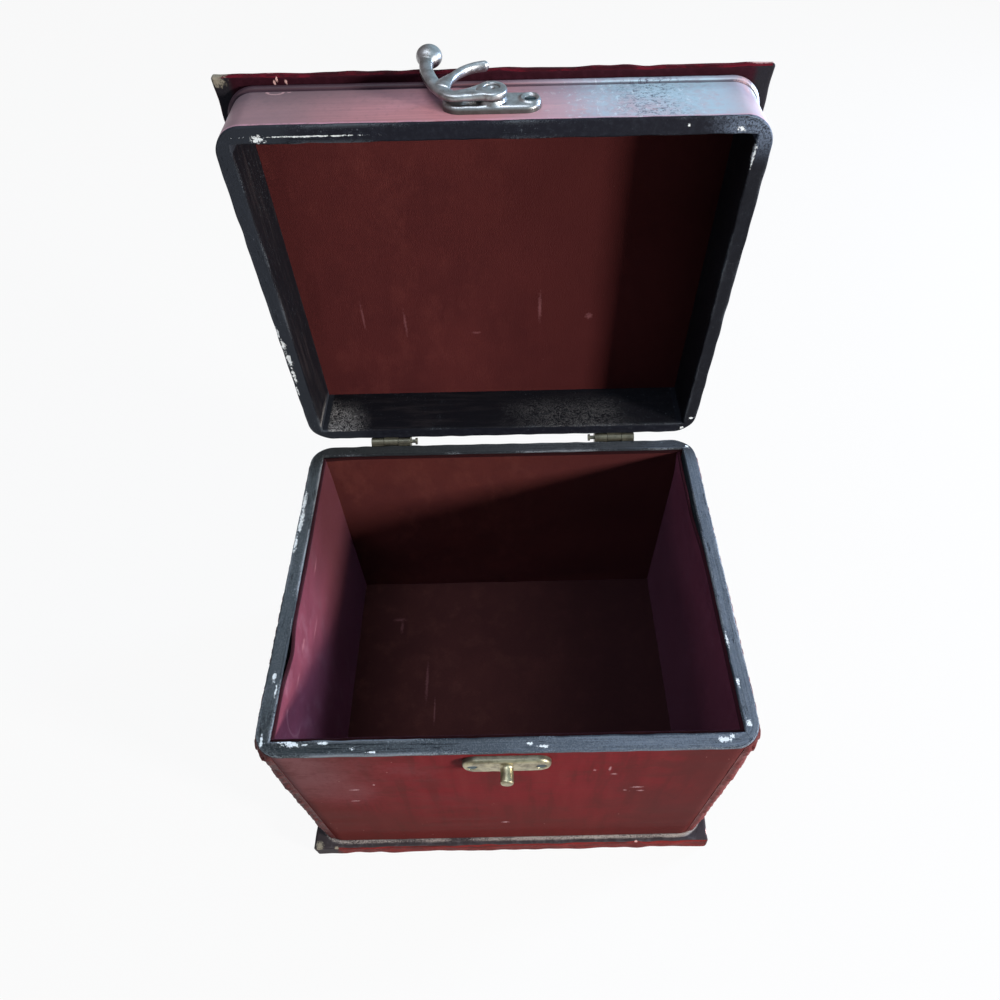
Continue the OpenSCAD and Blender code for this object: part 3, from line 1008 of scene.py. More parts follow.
@dataclass(frozen=True)
class EmbossedSkin:
    """Red embossed skin, dark in its hollows and pink on its ridges, partly rubbed wear and partly painted
    highlight.

    The mesh gives relief, from 0 to 1.
    """

    name: str

    def make(self) -> bpy.types.Material:
        """Builds the material.

        Returns:
            The material.
        """
        g = Graph.finish_of(self.name)
        here = g.place()
        relief = g.value("relief")
        mottle = g.noise(here, 0.3, 5.0, 0.65)
        crumbs = g.noise(here, 1.7, 4.0, 0.7)
        # pink ridges: partly rubbed wear, partly painted highlight
        rubbed = (relief + mottle.sway(0.9) + crumbs.sway(0.4)).step(0.72, 0.92)
        colour = g.coats(
            paint(52, 25, 26),
            (relief.step(0.1, 0.8), paint(98, 41, 41)),
            (g.noise(here, 0.05, 3.0).step(0.4, 0.65) * 0.5, paint(74, 42, 38)),
            (rubbed * 0.6, paint(142, 84, 84)),
            (g.axes(here)[1].step(-62, -68) * 0.6, paint(96, 40, 39)),
            (crumbs.step(0.6, 0.75) * 0.3, paint(60, 30, 30)),
        )
        return g.finish(
            Base_Color=colour,
            Roughness=0.42 + mottle * 0.2,
            Specular_IOR_Level=0.1,
            Normal=g.bump(crumbs * 0.6 + mottle * 0.4, 0.22),
        )


@dataclass(frozen=True)
class EdgedBoard:
    """Board painted dark on the side that faces the walls, with red edges.

    The mesh gives side (0 the dark face, 1 the far face), rim (0 on the faces, 1 on the edge) and wall
    (distance out from the walls). Along the walls the paint has worn to a pale line, as strong as ring says.
    """

    name: str
    dark: Colour
    dark_worn: Colour
    red: Colour
    red_deep: Colour
    red_worn: Colour
    flank: Colour
    red_from: float
    ring: float
    chips: tuple[Mark, ...]
    red_to: float = 90.4

    def make(self) -> bpy.types.Material:
        """Builds the material.

        Returns:
            The material.
        """
        g = Graph.finish_of(self.name)
        here = g.place()
        x, _, _ = g.axes(here)
        side, rim, wall = g.value("side"), g.value("rim"), g.value("wall")
        mottle = g.noise(here, 0.35, 5.0, 0.65)
        crumbs = g.noise(here, 1.8, 4.0, 0.7)
        broad = g.noise(here, 0.03, 3.0)
        strokes = g.noise(g.stretch(here, 0.05, 0.35, 0.5), 1.0, 4.0)
        line = abs(wall - 0.8 - mottle.sway(1)).step(1.2, 0.2) * (crumbs + (broad - 0.5)).step(0.36, 0.58)
        dark = g.coats(
            self.dark,
            (mottle.step(0.45, 0.7) * 0.6, self.dark_worn),
            (abs(x).step(84, 86.5), self.flank),
            (line * self.ring, paint(186, 176, 168)),
        )
        red = g.coats(
            self.red,
            ((strokes + mottle.sway(0.5)).step(0.42, 0.58), self.red_deep),
            ((crumbs + mottle.sway(0.5)).step(0.55, 0.68) * 0.6, self.red_worn),
            ((x + mottle.sway(8)).step(self.red_from + 1.0, self.red_from - 1.0), self.flank),
            ((x + crumbs.sway(0.6)).step(self.red_to - 0.4, self.red_to + 0.1), self.flank),
        )
        far = g.coats(
            paint(108, 34, 38),
            (strokes.step(0.3, 0.75) * 0.45, paint(76, 26, 30)),
            (mottle.step(0.5, 0.75) * 0.3, paint(126, 56, 56)),
        )
        chipped = g.marks(here, self.chips, crumbs * 0.7 + mottle * 0.3, 0.4, 2.2)
        bare = g.mix(x.step(-80, -74), paint(142, 134, 118), paint(208, 166, 160))
        edge = (rim + crumbs.sway(0.5) + mottle.sway(0.4)).step(0.35, 0.6)
        return g.finish(
            Base_Color=g.coats(dark, (edge, red), (side, far), (chipped, bare)),
            Roughness=0.45 + mottle * 0.25,
            Specular_IOR_Level=0.03,
            Normal=g.bump(crumbs * 0.5 + mottle * 0.5, 0.2),
        )


@dataclass(frozen=True)
class PileCloth:
    """Short burgundy pile with brushed and rubbed places.

    The colour darkens along one axis between two given places as painted shade, and its edge is dark above
    cut_at.
    """

    name: str
    cloth: Colour
    shade: Colour
    rubbed: Colour
    # colour of the painted shade at the dark end
    painted_lighting: Colour
    sheen: float
    painted_shade_axis: int
    painted_shade_from: float
    painted_shade_to: float
    marks: tuple[Mark, ...] = ()
    cut_at: float = 122.6
    stroke: float = 0.28
    cloudy: float = 0.03

    def make(self) -> bpy.types.Material:
        """Builds the material.

        Returns:
            The material.
        """
        g = Graph.finish_of(self.name)
        here = g.place()
        axes = g.axes(here)
        along = (axes[self.painted_shade_axis] - self.painted_shade_from) * (1 / (self.painted_shade_to - self.painted_shade_from))
        cloudy = g.noise(here, self.cloudy, 5.0, 0.6)
        brushed = g.noise(g.stretch(here, 0.1, 0.1, 0.06), 1.0, 5.0, 0.65)
        tuft = g.noise(here, 2.8, 3.0, 0.75)
        lint = g.cells(here, 0.22).step(0.045, 0.02) * g.noise(here, 0.3).step(0.52, 0.6)
        colour = g.coats(
            self.cloth,
            (cloudy.step(0.3, 0.7) * 0.7, self.shade),
            (brushed.step(0.48, 0.7) * 0.45, self.rubbed),
            (tuft.step(0.35, 0.62) * 0.55, self.shade),
            # painted shade towards one end
            ((along + brushed.sway(0.6)).step(0, 1) * 0.85, self.painted_lighting),
            (lint * 0.4, paint(150, 104, 96)),
            (axes[2].step(self.cut_at - 0.5, self.cut_at) * 0.85, paint(26, 12, 14)),
        )
        if self.marks:
            stroked = g.marks(here, self.marks, g.noise(here, 1.2, 5.0, 0.7), 0.8, 2.4)
            colour = g.mix(stroked * self.stroke, colour, paint(158, 104, 108))
        return g.finish(
            Base_Color=colour,
            Roughness=0.95,
            Specular_IOR_Level=0.02,
            Sheen_Weight=self.sheen,
            Sheen_Roughness=0.4,
            Sheen_Tint=paint(214, 140, 178),
            Normal=g.bump(tuft * 0.7 + brushed * 0.6, 0.3),
        )


@dataclass(frozen=True)
class AgedMetal:
    """Cast metal with a patina that stays in the hollows and wears off the high places.

    The face that carries the fittings looks along face and lies at foot along it.
    """

    name: str
    bright: Colour
    dull: Colour
    patina: Colour
    shine: float
    face: Triple
    foot: float

    def make(self) -> bpy.types.Material:
        """Builds the material.

        Returns:
            The material.
        """
        g = Graph.finish_of(self.name)
        here = g.place()
        over = g.vector("DOT_PRODUCT", here, self.face, output=1) - self.foot
        cloudy = g.noise(here, 0.28, 4.0, 0.6)
        grit = g.noise(here, 1.6, 4.0, 0.7)
        stain = (grit + cloudy.sway(0.6)).step(0.55, 0.75)
        grimy = (over + cloudy.sway(1.2)).step(1.9, 1)
        colour = g.coats(
            self.bright,
            (cloudy.step(0.35, 0.65), self.dull),
            (stain * 0.6, self.patina),
            (grimy * 0.8, paint(58, 57, 50)),
        )
        return g.finish(
            Base_Color=colour,
            Metallic=g.blend(stain | grimy, 1.0, 0.55),
            Roughness=(1.0 - self.shine) + grit * 0.12 + stain * 0.15,
            Normal=g.bump(cloudy, 0.1),
        )


@dataclass(frozen=True)
class PlainStock:
    """Raw board or card that hardly shows."""

    name: str
    base: Colour
    fibre: Colour

    def make(self) -> bpy.types.Material:
        """Builds the material.

        Returns:
            The material.
        """
        g = Graph.finish_of(self.name)
        here = g.place()
        grain = g.noise(g.stretch(here, 0.05, 0.6, 0.6), 1.0, 5.0, 0.6)
        speck = g.noise(here, 1.2, 3.0)
        fibres, dusty = grain.step(0.4, 0.65), speck.step(0.55, 0.7) * 0.25
        colour = g.coats(self.base, (fibres, self.fibre), (dusty, self.base))
        return g.finish(Base_Color=colour, Roughness=0.7 + speck * 0.2, Normal=g.bump(grain, 0.1))


# Sub-assemblies


@dataclass
class Piece:
    """One piece: its object, the body that it rides on, its slot, and the node that it stands for."""

    thing: bpy.types.Object
    body: Body
    slot: Slot
    node: str

    def settle(self, material: bpy.types.Material) -> None:
        """Dresses the piece and hands it to the frame.

        Args:
            material: Its finish.
        """
        self.thing.data.materials.append(material)
        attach(self.thing, self.body.value)
        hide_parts(self.node)
        low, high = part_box(self.node)
        points = np.array([v.co for v in self.thing.data.vertices])
        grown = max((np.array(low) - points.min(0)).max(), (points.max(0) - np.array(high)).max())
        count = len(self.thing.data.polygons)
        LOG.info("%s: %d faces, %.2f mm past its node", self.thing.name, count, grown / MM)


class Dresser:
    """Gives carried-over nodes their materials."""

    def __init__(self, nodes: dict[str, bpy.types.Object]) -> None:
        """Keeps the nodes of the frame."""
        self.nodes = nodes

    def dress(self, material: bpy.types.Material, *names: str) -> None:
        """Puts a material on the named nodes.

        Args:
            material: The finish.
            names: The nodes.
        """
        for name in names:
            mesh = self.nodes[name].data
            mesh.materials.clear()
            mesh.materials.append(material)
            LOG.info("%s: carried over with %s", name, material.name)


@dataclass
class MitredFrame:
    """Four mitred sides with round outer corners: the walls of the box or the rails of the lid."""

    height: float
    rim: float
    away: float
    placing: Placing
    chips: tuple[Mark, ...]
    edge_r: float = 0.55
    spacing: float = 0.9
    wobble: float = 0.07

    def profile(self) -> tuple[Array, Array, Array, Array]:
        """Cross-section of a side as four rows: share across the wall, share of the inset, inset and drop.

        A point lies at share + sign * inset / width across the wall, and drop away from the rim. The rows
        start at the foot of the outer face and go over the rim to the foot of the inner face.

        Returns:
            The four rows.
        """
        face = np.concatenate([np.linspace(self.height, 6, 26)[:-1], np.linspace(6, self.edge_r, 9)[:-1]])
        turn = np.radians(np.linspace(0, 90, 7))
        over_in, over_drop = self.edge_r * (1 - np.cos(turn)), self.edge_r * (1 - np.sin(turn))
        across = np.linspace(0.14, 0.86, 9)
        zero, flat = np.zeros(len(face)), np.zeros(len(across))
        share = np.concatenate([zero, turn * 0, across, turn * 0 + 1, zero + 1])
        sign = np.concatenate([zero, turn * 0 + 1, flat, turn * 0 - 1, zero])
        inset = np.concatenate([zero, over_in, flat, over_in[::-1], zero])
        drop = np.concatenate([face, over_drop, flat, over_drop[::-1], face[::-1]])
        return share, sign, inset, drop

    def side(self, side: Side) -> Shell:
        """One side.

        The outer line is half a corner, a straight run and half a corner; the inner line is straight. The
        cross-section is carried between them, and both ends are mitred.

        Args:
            side: Which side.

        Returns:
            Its shell, with run, drop, inset and edge at the points.
        """
        w, d = (BOX.depth, BOX.width) if side in (Side.LEFT, Side.RIGHT) else (BOX.width, BOX.depth)
        r, t = BOX.corner_r, BOX.wall_t
        left = arc((-(w / 2 - r), -(d / 2 - r)), r, 225, 270, 8)
        right = arc((w / 2 - r, -(d / 2 - r)), r, 270, 315, 8)
        run = np.linspace(left[-1], right[0], int((w - 2 * r) / self.spacing) + 1)[1:-1]
        outer = np.concatenate([left, run, right])
        ends = np.linspace(-(w / 2 - t), left[-1, 0], 9)
        inner_x = np.concatenate([ends, run[:, 0], -ends[::-1]])
        inner = np.stack([inner_x, np.full(len(inner_x), -(d / 2 - t))], -1)
        share, sign, inset, drop = self.profile()
        width = np.linalg.norm(outer - inner, axis=-1)[:, None]
        across = share + sign * inset / width
        plan = outer[:, None] + (inner - outer)[:, None] * across[..., None]
        a = math.radians(90 * side.value)
        x = plan[..., 0] * math.cos(a) - plan[..., 1] * math.sin(a)
        y = plan[..., 0] * math.sin(a) + plan[..., 1] * math.cos(a)
        points = np.stack([x, y, np.broadcast_to(self.rim + self.away * drop, x.shape)], -1)
        near = np.hypot(np.minimum(across, 1 - across) * width, drop)
        edge = np.exp(-((near / 0.7) ** 2))
        soft = self.wobble * (0.4 + 1.2 * edge) * (drop < self.height - 1)
        shift = shaken(points, (9, 8, 10), 1) * soft[..., None]
        for mark in self.chips:
            depth = 0.08 * ease(mark.reach(points) + 0.5 * ripple(points, 1.3, 4), 1.15, 0.4)
            shift[..., 2] += self.away * depth
        run = np.broadcast_to(outer[:, :1] + SIDE_RUN * side.value, x.shape)
        values = {"run": run, "drop": np.broadcast_to(drop, x.shape), "inset": across * width, "edge": edge}
        return self.placing.shell(loft(points + shift, values))


@dataclass
class Board:
    """Flat board that stands out past the walls, with rounded edges."""

    over: float
    z0: float
    thick: float
    low_r: float
    high_r: float
    dark_up: bool
    placing: Placing
    corner: float = 0.9
    wobble: float = 0.12

    def make(self) -> Shell:
        """The board as loops stacked along its edge's profile: in along the underside, round, up, round, in.

        Returns:
            The shell, with side, rim and wall at the points.
        """
        flat = np.array([24, 14, 9, 7, 6, 5.2, 4.4, 3.8, 3.2, 2.6, 2.0, 1.5])
        low = arc((self.low_r, self.low_r), self.low_r, 270, 180, 5)
        high = arc((self.high_r, self.thick - self.high_r), self.high_r, 180, 90, 5)
        middle = np.linspace(low[-1], high[0], 6)[1:-1]
        inset = np.concatenate([flat, low[:, 0], middle[:, 0], high[:, 0], flat[::-1]])
        up = np.concatenate([flat * 0, low[:, 1], middle[:, 1], high[:, 1], flat * 0 + self.thick])
        w, d = BOX.width + 2 * self.over, BOX.depth + 2 * self.over
        plan = np.stack([rounded_loop(w - 2 * i, d - 2 * i, max(self.corner - i, 0.05)) for i in inset])
        points = stacked(plan, self.z0 + up)
        q = np.abs(plan) - (np.array([BOX.width, BOX.depth]) / 2 - BOX.corner_r)
        wall = np.linalg.norm(np.maximum(q, 0), axis=-1) + np.minimum(q.max(-1), 0) - BOX.corner_r
        side = ease(1 - up / self.thick if self.dark_up else up / self.thick, 0.93, 1.0)
        worn = self.wobble * ease(wall, 1.0, 3.0)
        shift = shaken(points, (11, 10, 12), 5) * [1, 1, 0.5] * worn[..., None]
        shift[..., 2] *= (up > 0.5)[:, None] if self.z0 == 0 else 1
        values = {"side": side[:, None], "rim": 1 - ease(inset, 0.05, 0.7)[:, None], "wall": wall}
        return self.placing.shell(loft(points + shift, values))


@dataclass
class SideCover:
    """Embossed skin over one side of the box and round its corners."""

    side: Side
    step: float = 0.62
    border: float = 9.0
    least: float = 0.15
    most: float = 1.9
    back: float = 0.03

    def path(self) -> tuple[Array, Array]:
        """Line of the cover in plan, on the wall's outer face, and the outward directions along it.

        Returns:
            Points and directions, each as (place, X Y).
        """
        r = BOX.corner_r
        lean = math.degrees(math.acos((r - BOX.cover_wrap) / r))
        cx, cy = BOX.width / 2 - r, BOX.depth / 2 - r
        bend = int(math.radians(lean) * r / self.step)
        front, back = arc((0, 0), 1, -lean, 0, bend), arc((0, 0), 1, 0, lean, bend)
        run = np.linspace(-cy, cy, int(2 * cy / self.step))[1:-1]
        straight = np.stack([np.full(len(run), cx + r), run], -1)
        line = np.concatenate([np.array([cx, -cy]) + r * front, straight, np.array([cx, cy]) + r * back])
        normal = np.concatenate([front, np.tile([1.0, 0.0], (len(run), 1)), back])
        flip = np.array([1 if self.side is Side.RIGHT else -1, 1])
        return line * flip, normal * flip

    def relief(self, u: Array, v: Array, length: float, height: float) -> Array:
        """Height of the embossing from 0 to 1: a scaly border round a field of scrolls.

        The border is a row of scales, each with a steep edge over the next. In the field each scroll is a
        spiral ridge of even pitch round the nearest point of a staggered lattice. Small leaves fill the rest.

        Args:
            u: Distance along the cover.
            v: Height on the cover.
            length: The cover's length.
            height: The cover's height.

        Returns:
            The relief at each place.
        """
        spot = np.stack([u, v, 0 * u], -1)
        u2, v2 = u + 1.2 * ripple(spot, 17, 11), v + 1.2 * ripple(spot, 15, 12)
        in_u, in_v = np.minimum(u, length - u), np.minimum(v, height - v)
        inward = np.minimum(in_u, in_v)
        along = np.where(in_u < in_v, v, u)
        band = np.clip(inward / self.border, 0, 1)
        beat = (along + 2.2 * np.sin(math.pi * band) + 0.7 * ripple(spot, 11, 18)) / 4.8
        scallop = (1 - (beat - np.floor(beat))) ** 0.8 * np.sin(math.pi * band) ** 0.5
        cell, rise = 27.0, 27.0 * 0.87
        row = np.round((v2 - height / 2) / rise)
        shift = np.where(row % 2 == 0, 0.0, cell / 2)
        column = np.round((u2 - length / 2 - shift) / cell)
        du = u2 - length / 2 - shift - column * cell
        dv = v2 - height / 2 - row * rise
        far, turn = np.hypot(du, dv), np.arctan2(dv, du)
        spin = np.where((column + row) % 2 == 0, 1.0, -1.0)
        coil = (0.5 + 0.5 * np.cos(2 * math.pi * far / 6.2 - spin * turn)) ** 0.8
        petals = 0.5 + 0.5 * np.cos(7 * turn + spin * far * 0.8)
        scroll = coil * ease(far, 13.2, 10.5) + petals * ease(far, 9.5, 12.0) * ease(far, 17.5, 13.0) * 0.8
        leaves = 1 - np.abs(ripple(spot, 7, 13))
        field = np.maximum(scroll, 0.55 * np.clip(leaves, 0, 1) * ease(far, 10, 14))
        split = ease(inward, self.border - 1.2, self.border + 1.0)
        groove = 1 - np.exp(-(((inward - self.border) / 0.9) ** 2))
        hatch = 0.06 * np.cos(2 * math.pi * (u + 0.7 * v) / 1.9)
        whole = (scallop * (1 - split) + field * split) * groove
        return np.clip(whole + hatch + 0.05 * ripple(spot, 3, 14), 0, 1)

    def make(self) -> Shell:
        """The cover: its outer face stands off the wall by the relief, and its ends thin out raggedly.

        Returns:
            The shell, with relief at the points.
        """
        line, normal = self.path()
        u = np.concatenate([[0], np.cumsum(np.linalg.norm(np.diff(line, axis=0), axis=1))])
        z0, z1 = BOX.base_t, BOX.rim - BOX.cover_drop
        v = np.linspace(0, z1 - z0, int((z1 - z0) / self.step))
        uu, vv = np.meshgrid(u, v, indexing="ij")
        height = self.relief(uu, vv, float(u[-1]), float(v[-1]))
        spot = np.stack([uu, vv, 0 * uu], -1)
        end = np.minimum(uu, u[-1] - uu) - 0.55 * (1 + ripple(spot * [0, 1, 0], 6, 15))
        top = v[-1] - vv - 0.25 * (1 + ripple(spot * [1, 0, 0], 8, 16))
        thin = ease(end, -0.3, 1.6) * ease(top, -0.2, 0.9)
        stand = self.least + thin * (0.25 + (self.most - self.least - 0.25) * height)
        stand *= 0.82 + 0.22 * ripple(spot, 15, 17)
        stand = np.clip(stand, self.least, 0.25 + 0.3 * (BOX.cover_drop + v[-1] - vv))
        behind = np.full((len(line), 4), self.back)
        stand = np.concatenate([stand, behind], 1)
        plan = line[:, None] + normal[:, None] * stand[..., None]
        z = np.broadcast_to(np.concatenate([z0 + v, np.linspace(z1, z0, 4)]), stand.shape)
        rings = np.concatenate([plan, z[..., None]], -1)
        return loft(rings, {"relief": np.concatenate([height * thin, behind * 0], 1)})


@dataclass
class PilePanel:
    """A panel of pile cloth on its card: a slab that swells a little and lifts off its wall in places."""

    corner: Triple
    along: Triple
    up: Triple
    out: Triple
    length: float
    height: float
    thick: float
    swell: float
    seed: int
    lifts: tuple[Triple, ...] = ()
    spacing: float = 1.7

    def lay(self, name: str, cloth: bpy.types.Material, held: Held, carrier: str, placing: Placing) -> None:
        """Adds the panel as a piece of cloth.

        Args:
            name: What it lines: its node is that with _lining, and the piece that with _pile.
            cloth: Its finish.
            held: How it is held; not used.
            carrier: Node that carries it; not used.
            placing: Where it stands.
        """
        thing = make_object(f"{name}_pile", placing.shell(self.make()))
        Piece(thing, placing.body, Slot.PILE, f"{name}_lining").settle(cloth)
        self.height * MM

    def make(self) -> Shell:
        """The slab, with its cross-section carried along it.

        The front face stands off the back by thick plus a slow ripple of swell. Each lift is (place along,
        half length, height) and bends the upper edge away from the wall over the top fifth.

        Returns:
            The shell.
        """
        r = self.thick * 0.45
        low = np.linspace(0, self.height - 3, int(self.height / self.spacing))
        v = np.concatenate([low, self.height - np.array([2.2, 1.5, 0.9])])
        turn = np.radians(np.linspace(0, 90, 5))
        high = np.concatenate([v, self.height - r + r * np.sin(turn), [self.height, self.height], v[::-1]])
        share = np.concatenate([v * 0 + 1, turn * 0 + 1, [0.3, 0.0], v * 0])
        cut = np.concatenate([v * 0, r * (1 - np.cos(turn)), [0, 0], v * 0])
        u = np.linspace(0, self.length, int(self.length / self.spacing))
        uu, hh = np.meshgrid(u, high, indexing="ij")
        spot = np.stack([uu, hh, 0 * uu + self.seed * 50], -1)
        away = np.zeros_like(uu)
        for place, half, rise in self.lifts:
            bend = np.exp(-(((u - place) / half) ** 2))[:, None]
            away += rise * bend * ease(hh, self.height * 0.8, self.height) ** 1.5
        inside = ease(np.minimum(np.minimum(uu, self.length - uu), np.minimum(hh, self.height - hh)), 0, 9)
        stand = share * (self.thick - cut + self.swell * inside * (0.4 + ripple(spot, 46, self.seed)))
        stand = np.maximum(stand, share * 0.4 * self.thick) + away
        along, up, out = (np.array(a, float) for a in (self.along, self.up, self.out))
        wave = 0.12 * ripple(spot * [1, 0, 1], 14, self.seed + 1)
        level = hh + wave * ease(hh, self.height * 0.9, self.height)
        sheet = np.array(self.corner) + uu[..., None] * along + level[..., None] * up
        return loft(sheet + stand[..., None] * out)


@dataclass(frozen=True)
class Face:
    """A flat face that carries a fitting: its origin and its right, up and outward directions."""

    origin: Triple
    right: Triple
    up: Triple
    out: Triple

    def place(self, points: Array) -> Array:
        """Points drawn lying down (right, up, height) as they stand on the face."""
        turn = np.array([self.right, self.up, self.out])
        return np.array(self.origin) + points @ turn

    def shell(self, shell: Shell) -> Shell:
        """A shell placed on the face."""
        return replace(shell, points=self.place(shell.points))


@dataclass
class RoundedPlate:
    """Oblong plate with round ends, a soft shoulder, a dished hole at each end and whatever stands on it."""

    length: float = 31.0
    width: float = 10.2
    thick: float = 2.3
    pitch: float = 24.0
    shoulder: float = 1.3
    ring_h: float = 0.0
    seat_r: float = 0.0
    seat_h: float = 0.0

    def make(self) -> Shell:
        """The plate as loops across it: the top is a height over the plan, the underside is flat.

        The height is a quarter ellipse over the distance to the outline, plus a ring round each hole, minus a
        cone in each hole, plus a round seat in the middle.

        Returns:
            The shell, drawn lying down.
        """
        half, r = self.length / 2, self.width / 2
        x = -half * np.cos(np.linspace(0, math.pi, 131))
        w = np.where(np.abs(x) > half - r, np.sqrt(np.maximum(r**2 - (np.abs(x) - half + r) ** 2, 0.0004)), r)
        v = -np.cos(np.linspace(0, math.pi, 45))
        xx, yy = np.broadcast_to(x[:, None], (131, 45)), w[:, None] * v
        near = np.clip((r - np.hypot(np.maximum(np.abs(xx) - (half - r), 0), yy)) / self.shoulder, 0, 1)
        low = self.thick * 0.42
        z = low + (self.thick - low) * np.sqrt(1 - (1 - near) ** 2)
        hole = np.hypot(np.abs(xx) - self.pitch / 2, yy)
        z += self.ring_h * np.exp(-(((hole - 2.9) / 0.55) ** 2))
        z -= (self.thick - 0.5) * ease(hole, 1.95, 1.25)
        if self.seat_r:
            seat = ease(np.hypot(xx, yy), self.seat_r + 0.05, self.seat_r - 0.5)
            z = np.maximum(z, low + (self.seat_h - low) * seat)
        z += 0.05 * ripple(np.stack([xx, yy, 0 * xx], -1), 4, 31)
        top = np.stack([xx, yy, z], -1)
        bottom = np.stack([xx, yy, 0 * xx], -1)[:, ::-1]
        return loft(np.concatenate([top, bottom], 1))


def turned(profile: Array) -> Shell:
    """Turned piece about the height axis.

    Args:
        profile: (radius, height) pairs from the foot to the tip, with radii above 0.

    Returns:
        The shell, drawn lying down.
    """
    a = np.linspace(0, 2 * math.pi, 48, endpoint=False)
    r, z = profile[:, 0][:, None], profile[:, 1][:, None]
    return loft(np.stack([r * np.cos(a), r * np.sin(a), z + 0 * a], -1))


@dataclass
class LatchHook:
    """Cast hook: a bar from the eye through a bend to the ball, and a finger beside the stud's slot."""

    orbit: float = 17.9
    stud_r: float = 2.6
    clear: float = 0.3
    finger_half: float = 1.3
    finger_tip: float = 93.0
    arm_half: float = 1.75
    arm_t: float = 2.5
    seat: float = 3.2
    eye_r: float = 4.9
    ball_r: float = 4.2
    ball_half_t: float = 3.4
    grid: float = 0.2

    @property
    def back(self) -> float:
        """Height of the hook's back over the face."""
        return self.seat + 0.1

    @property
    def slot_out(self) -> float:
        """Distance of the slot's outer side from the pivot."""
        return self.orbit + self.stud_r + self.clear

    @property
    def lift(self) -> float:
        """Height of the ball's middle over the face."""
        return BOX.top_over + 0.3 + self.ball_half_t

    def arm(self) -> Array:
        """Stations of the bar as x, y, height, half width, half thickness, with the pivot at 0, 0.

        Returns:
            One row for each station.
        """
        out, mid, half, t = self.slot_out, self.back + self.arm_t / 2, self.arm_half, self.arm_t / 2
        return np.array(
            [
                [-0.4, -3.8, mid, 0.7, t],
                [-2.4, -3.3, mid, 1.1, t],
                [-4.6, -2.75, mid, half + 0.15, t],
                [-7.6, -2.5, mid, half + 0.6, t],
                [-12.6, -2.6, mid, half + 0.4, t],
                [-out * 0.812, 2.2, mid + 0.5, half + 0.5, t + 0.15],
                [-out * 0.942, 7.8, mid + 1.5, half + 0.4, t + 0.4],
                [-out * 0.99, 13.4, self.lift - 0.9, half + 0.4, t + 0.6],
                [-out * 0.975, 17.6, self.lift, half + 0.5, t + 0.6],
            ]
        )

    def web(self) -> Array:
        """Stations of the strip that fills the corner between the eye and the arm's upper side.

        Returns:
            One row for each station.
        """
        mid, t = self.back + self.arm_t / 2, self.arm_t / 2
        return np.array(
            [
                [-3.7, 1.9, mid, 0.8, t],
                [-4.6, 0.9, mid, 1.1, t],
                [-6.2, -0.3, mid, 1.1, t],
                [-8.6, -1.3, mid, 0.9, t],
                [-11.2, -2.0, mid, 0.7, t],
            ]
        )

    def finger(self) -> Array:
        """Stations of the finger: an arc round the pivot, wide at its root, that rises and tapers to its tip.

        Returns:
            One row for each station.
        """
        r = self.orbit - self.stud_r - self.clear - self.finger_half
        s = np.linspace(0, 1, 34)
        a = np.radians(176 + s * (self.finger_tip - 176))
        wider = 2 * np.maximum(0, 1 - s / 0.32)
        nose = np.sqrt(1 - 0.9 * np.clip((s - 0.93) / 0.07, 0, 1) ** 2)
        return np.stack(
            [
                (r + wider) * np.cos(a),
                (r + wider) * np.sin(a),
                self.back + self.arm_t / 2 + 0.7 + 2.3 * s - 1.3 * s * s,
                self.finger_half * (1 - 0.1 * s) * nose + wider,
                self.arm_t / 2 * (1 + 0.3 * s) * nose,
            ],
            -1,
        )

    @staticmethod
    def smooth(stations: Array) -> Array:
        """Smooth curve through stations, in 12 steps from each to the next.

        Each stretch is a cubic that passes a station in the direction of the line between its neighbours.

        Args:
            stations: Rows to pass through.

        Returns:
            Rows along the curve.
        """
        p = np.concatenate([stations[:1], stations, stations[-1:]])
        a, b, c, d = p[:-3, None], p[1:-2, None], p[2:-1, None], p[3:, None]
        t = (np.arange(12) / 12)[None, :, None]
        square, cube = 2 * a - 5 * b + 4 * c - d, 3 * b - a - 3 * c + d
        curve = b + (c - a) * t / 2 + square * t**2 / 2 + cube * t**3 / 2
        return np.concatenate([curve.reshape(-1, stations.shape[1]), stations[-1:]])

    @staticmethod
    def bar(stations: Array, square: float = 2.7) -> Shell:
        """Bar swept through stations, whose sections are superellipses square to the path.

        Args:
            stations: Rows of x, y, height, half width, half thickness.
            square: Exponent of the superellipse: 2 is an oval, more is squarer.

        Returns:
            The closed bar.
        """
        way = np.gradient(stations[:, :3], axis=0)
        way /= np.linalg.norm(way, axis=1)[:, None]
        wide = np.cross(np.array([0, 0, 1.0]), way)
        wide /= np.linalg.norm(wide, axis=1)[:, None]
        off = np.cross(way, wide)
        a = np.linspace(0, 2 * math.pi, 28, endpoint=False)
        c, s = np.cos(a), np.sin(a)
        u = np.sign(c) * np.abs(c) ** (2 / square)
        v = np.sign(s) * np.abs(s) ** (2 / square)
        across, over = (stations[:, 3, None] * u)[..., None], (stations[:, 4, None] * v)[..., None]
        return loft(stations[:, None, :3] + wide[:, None] * across + off[:, None] * over)

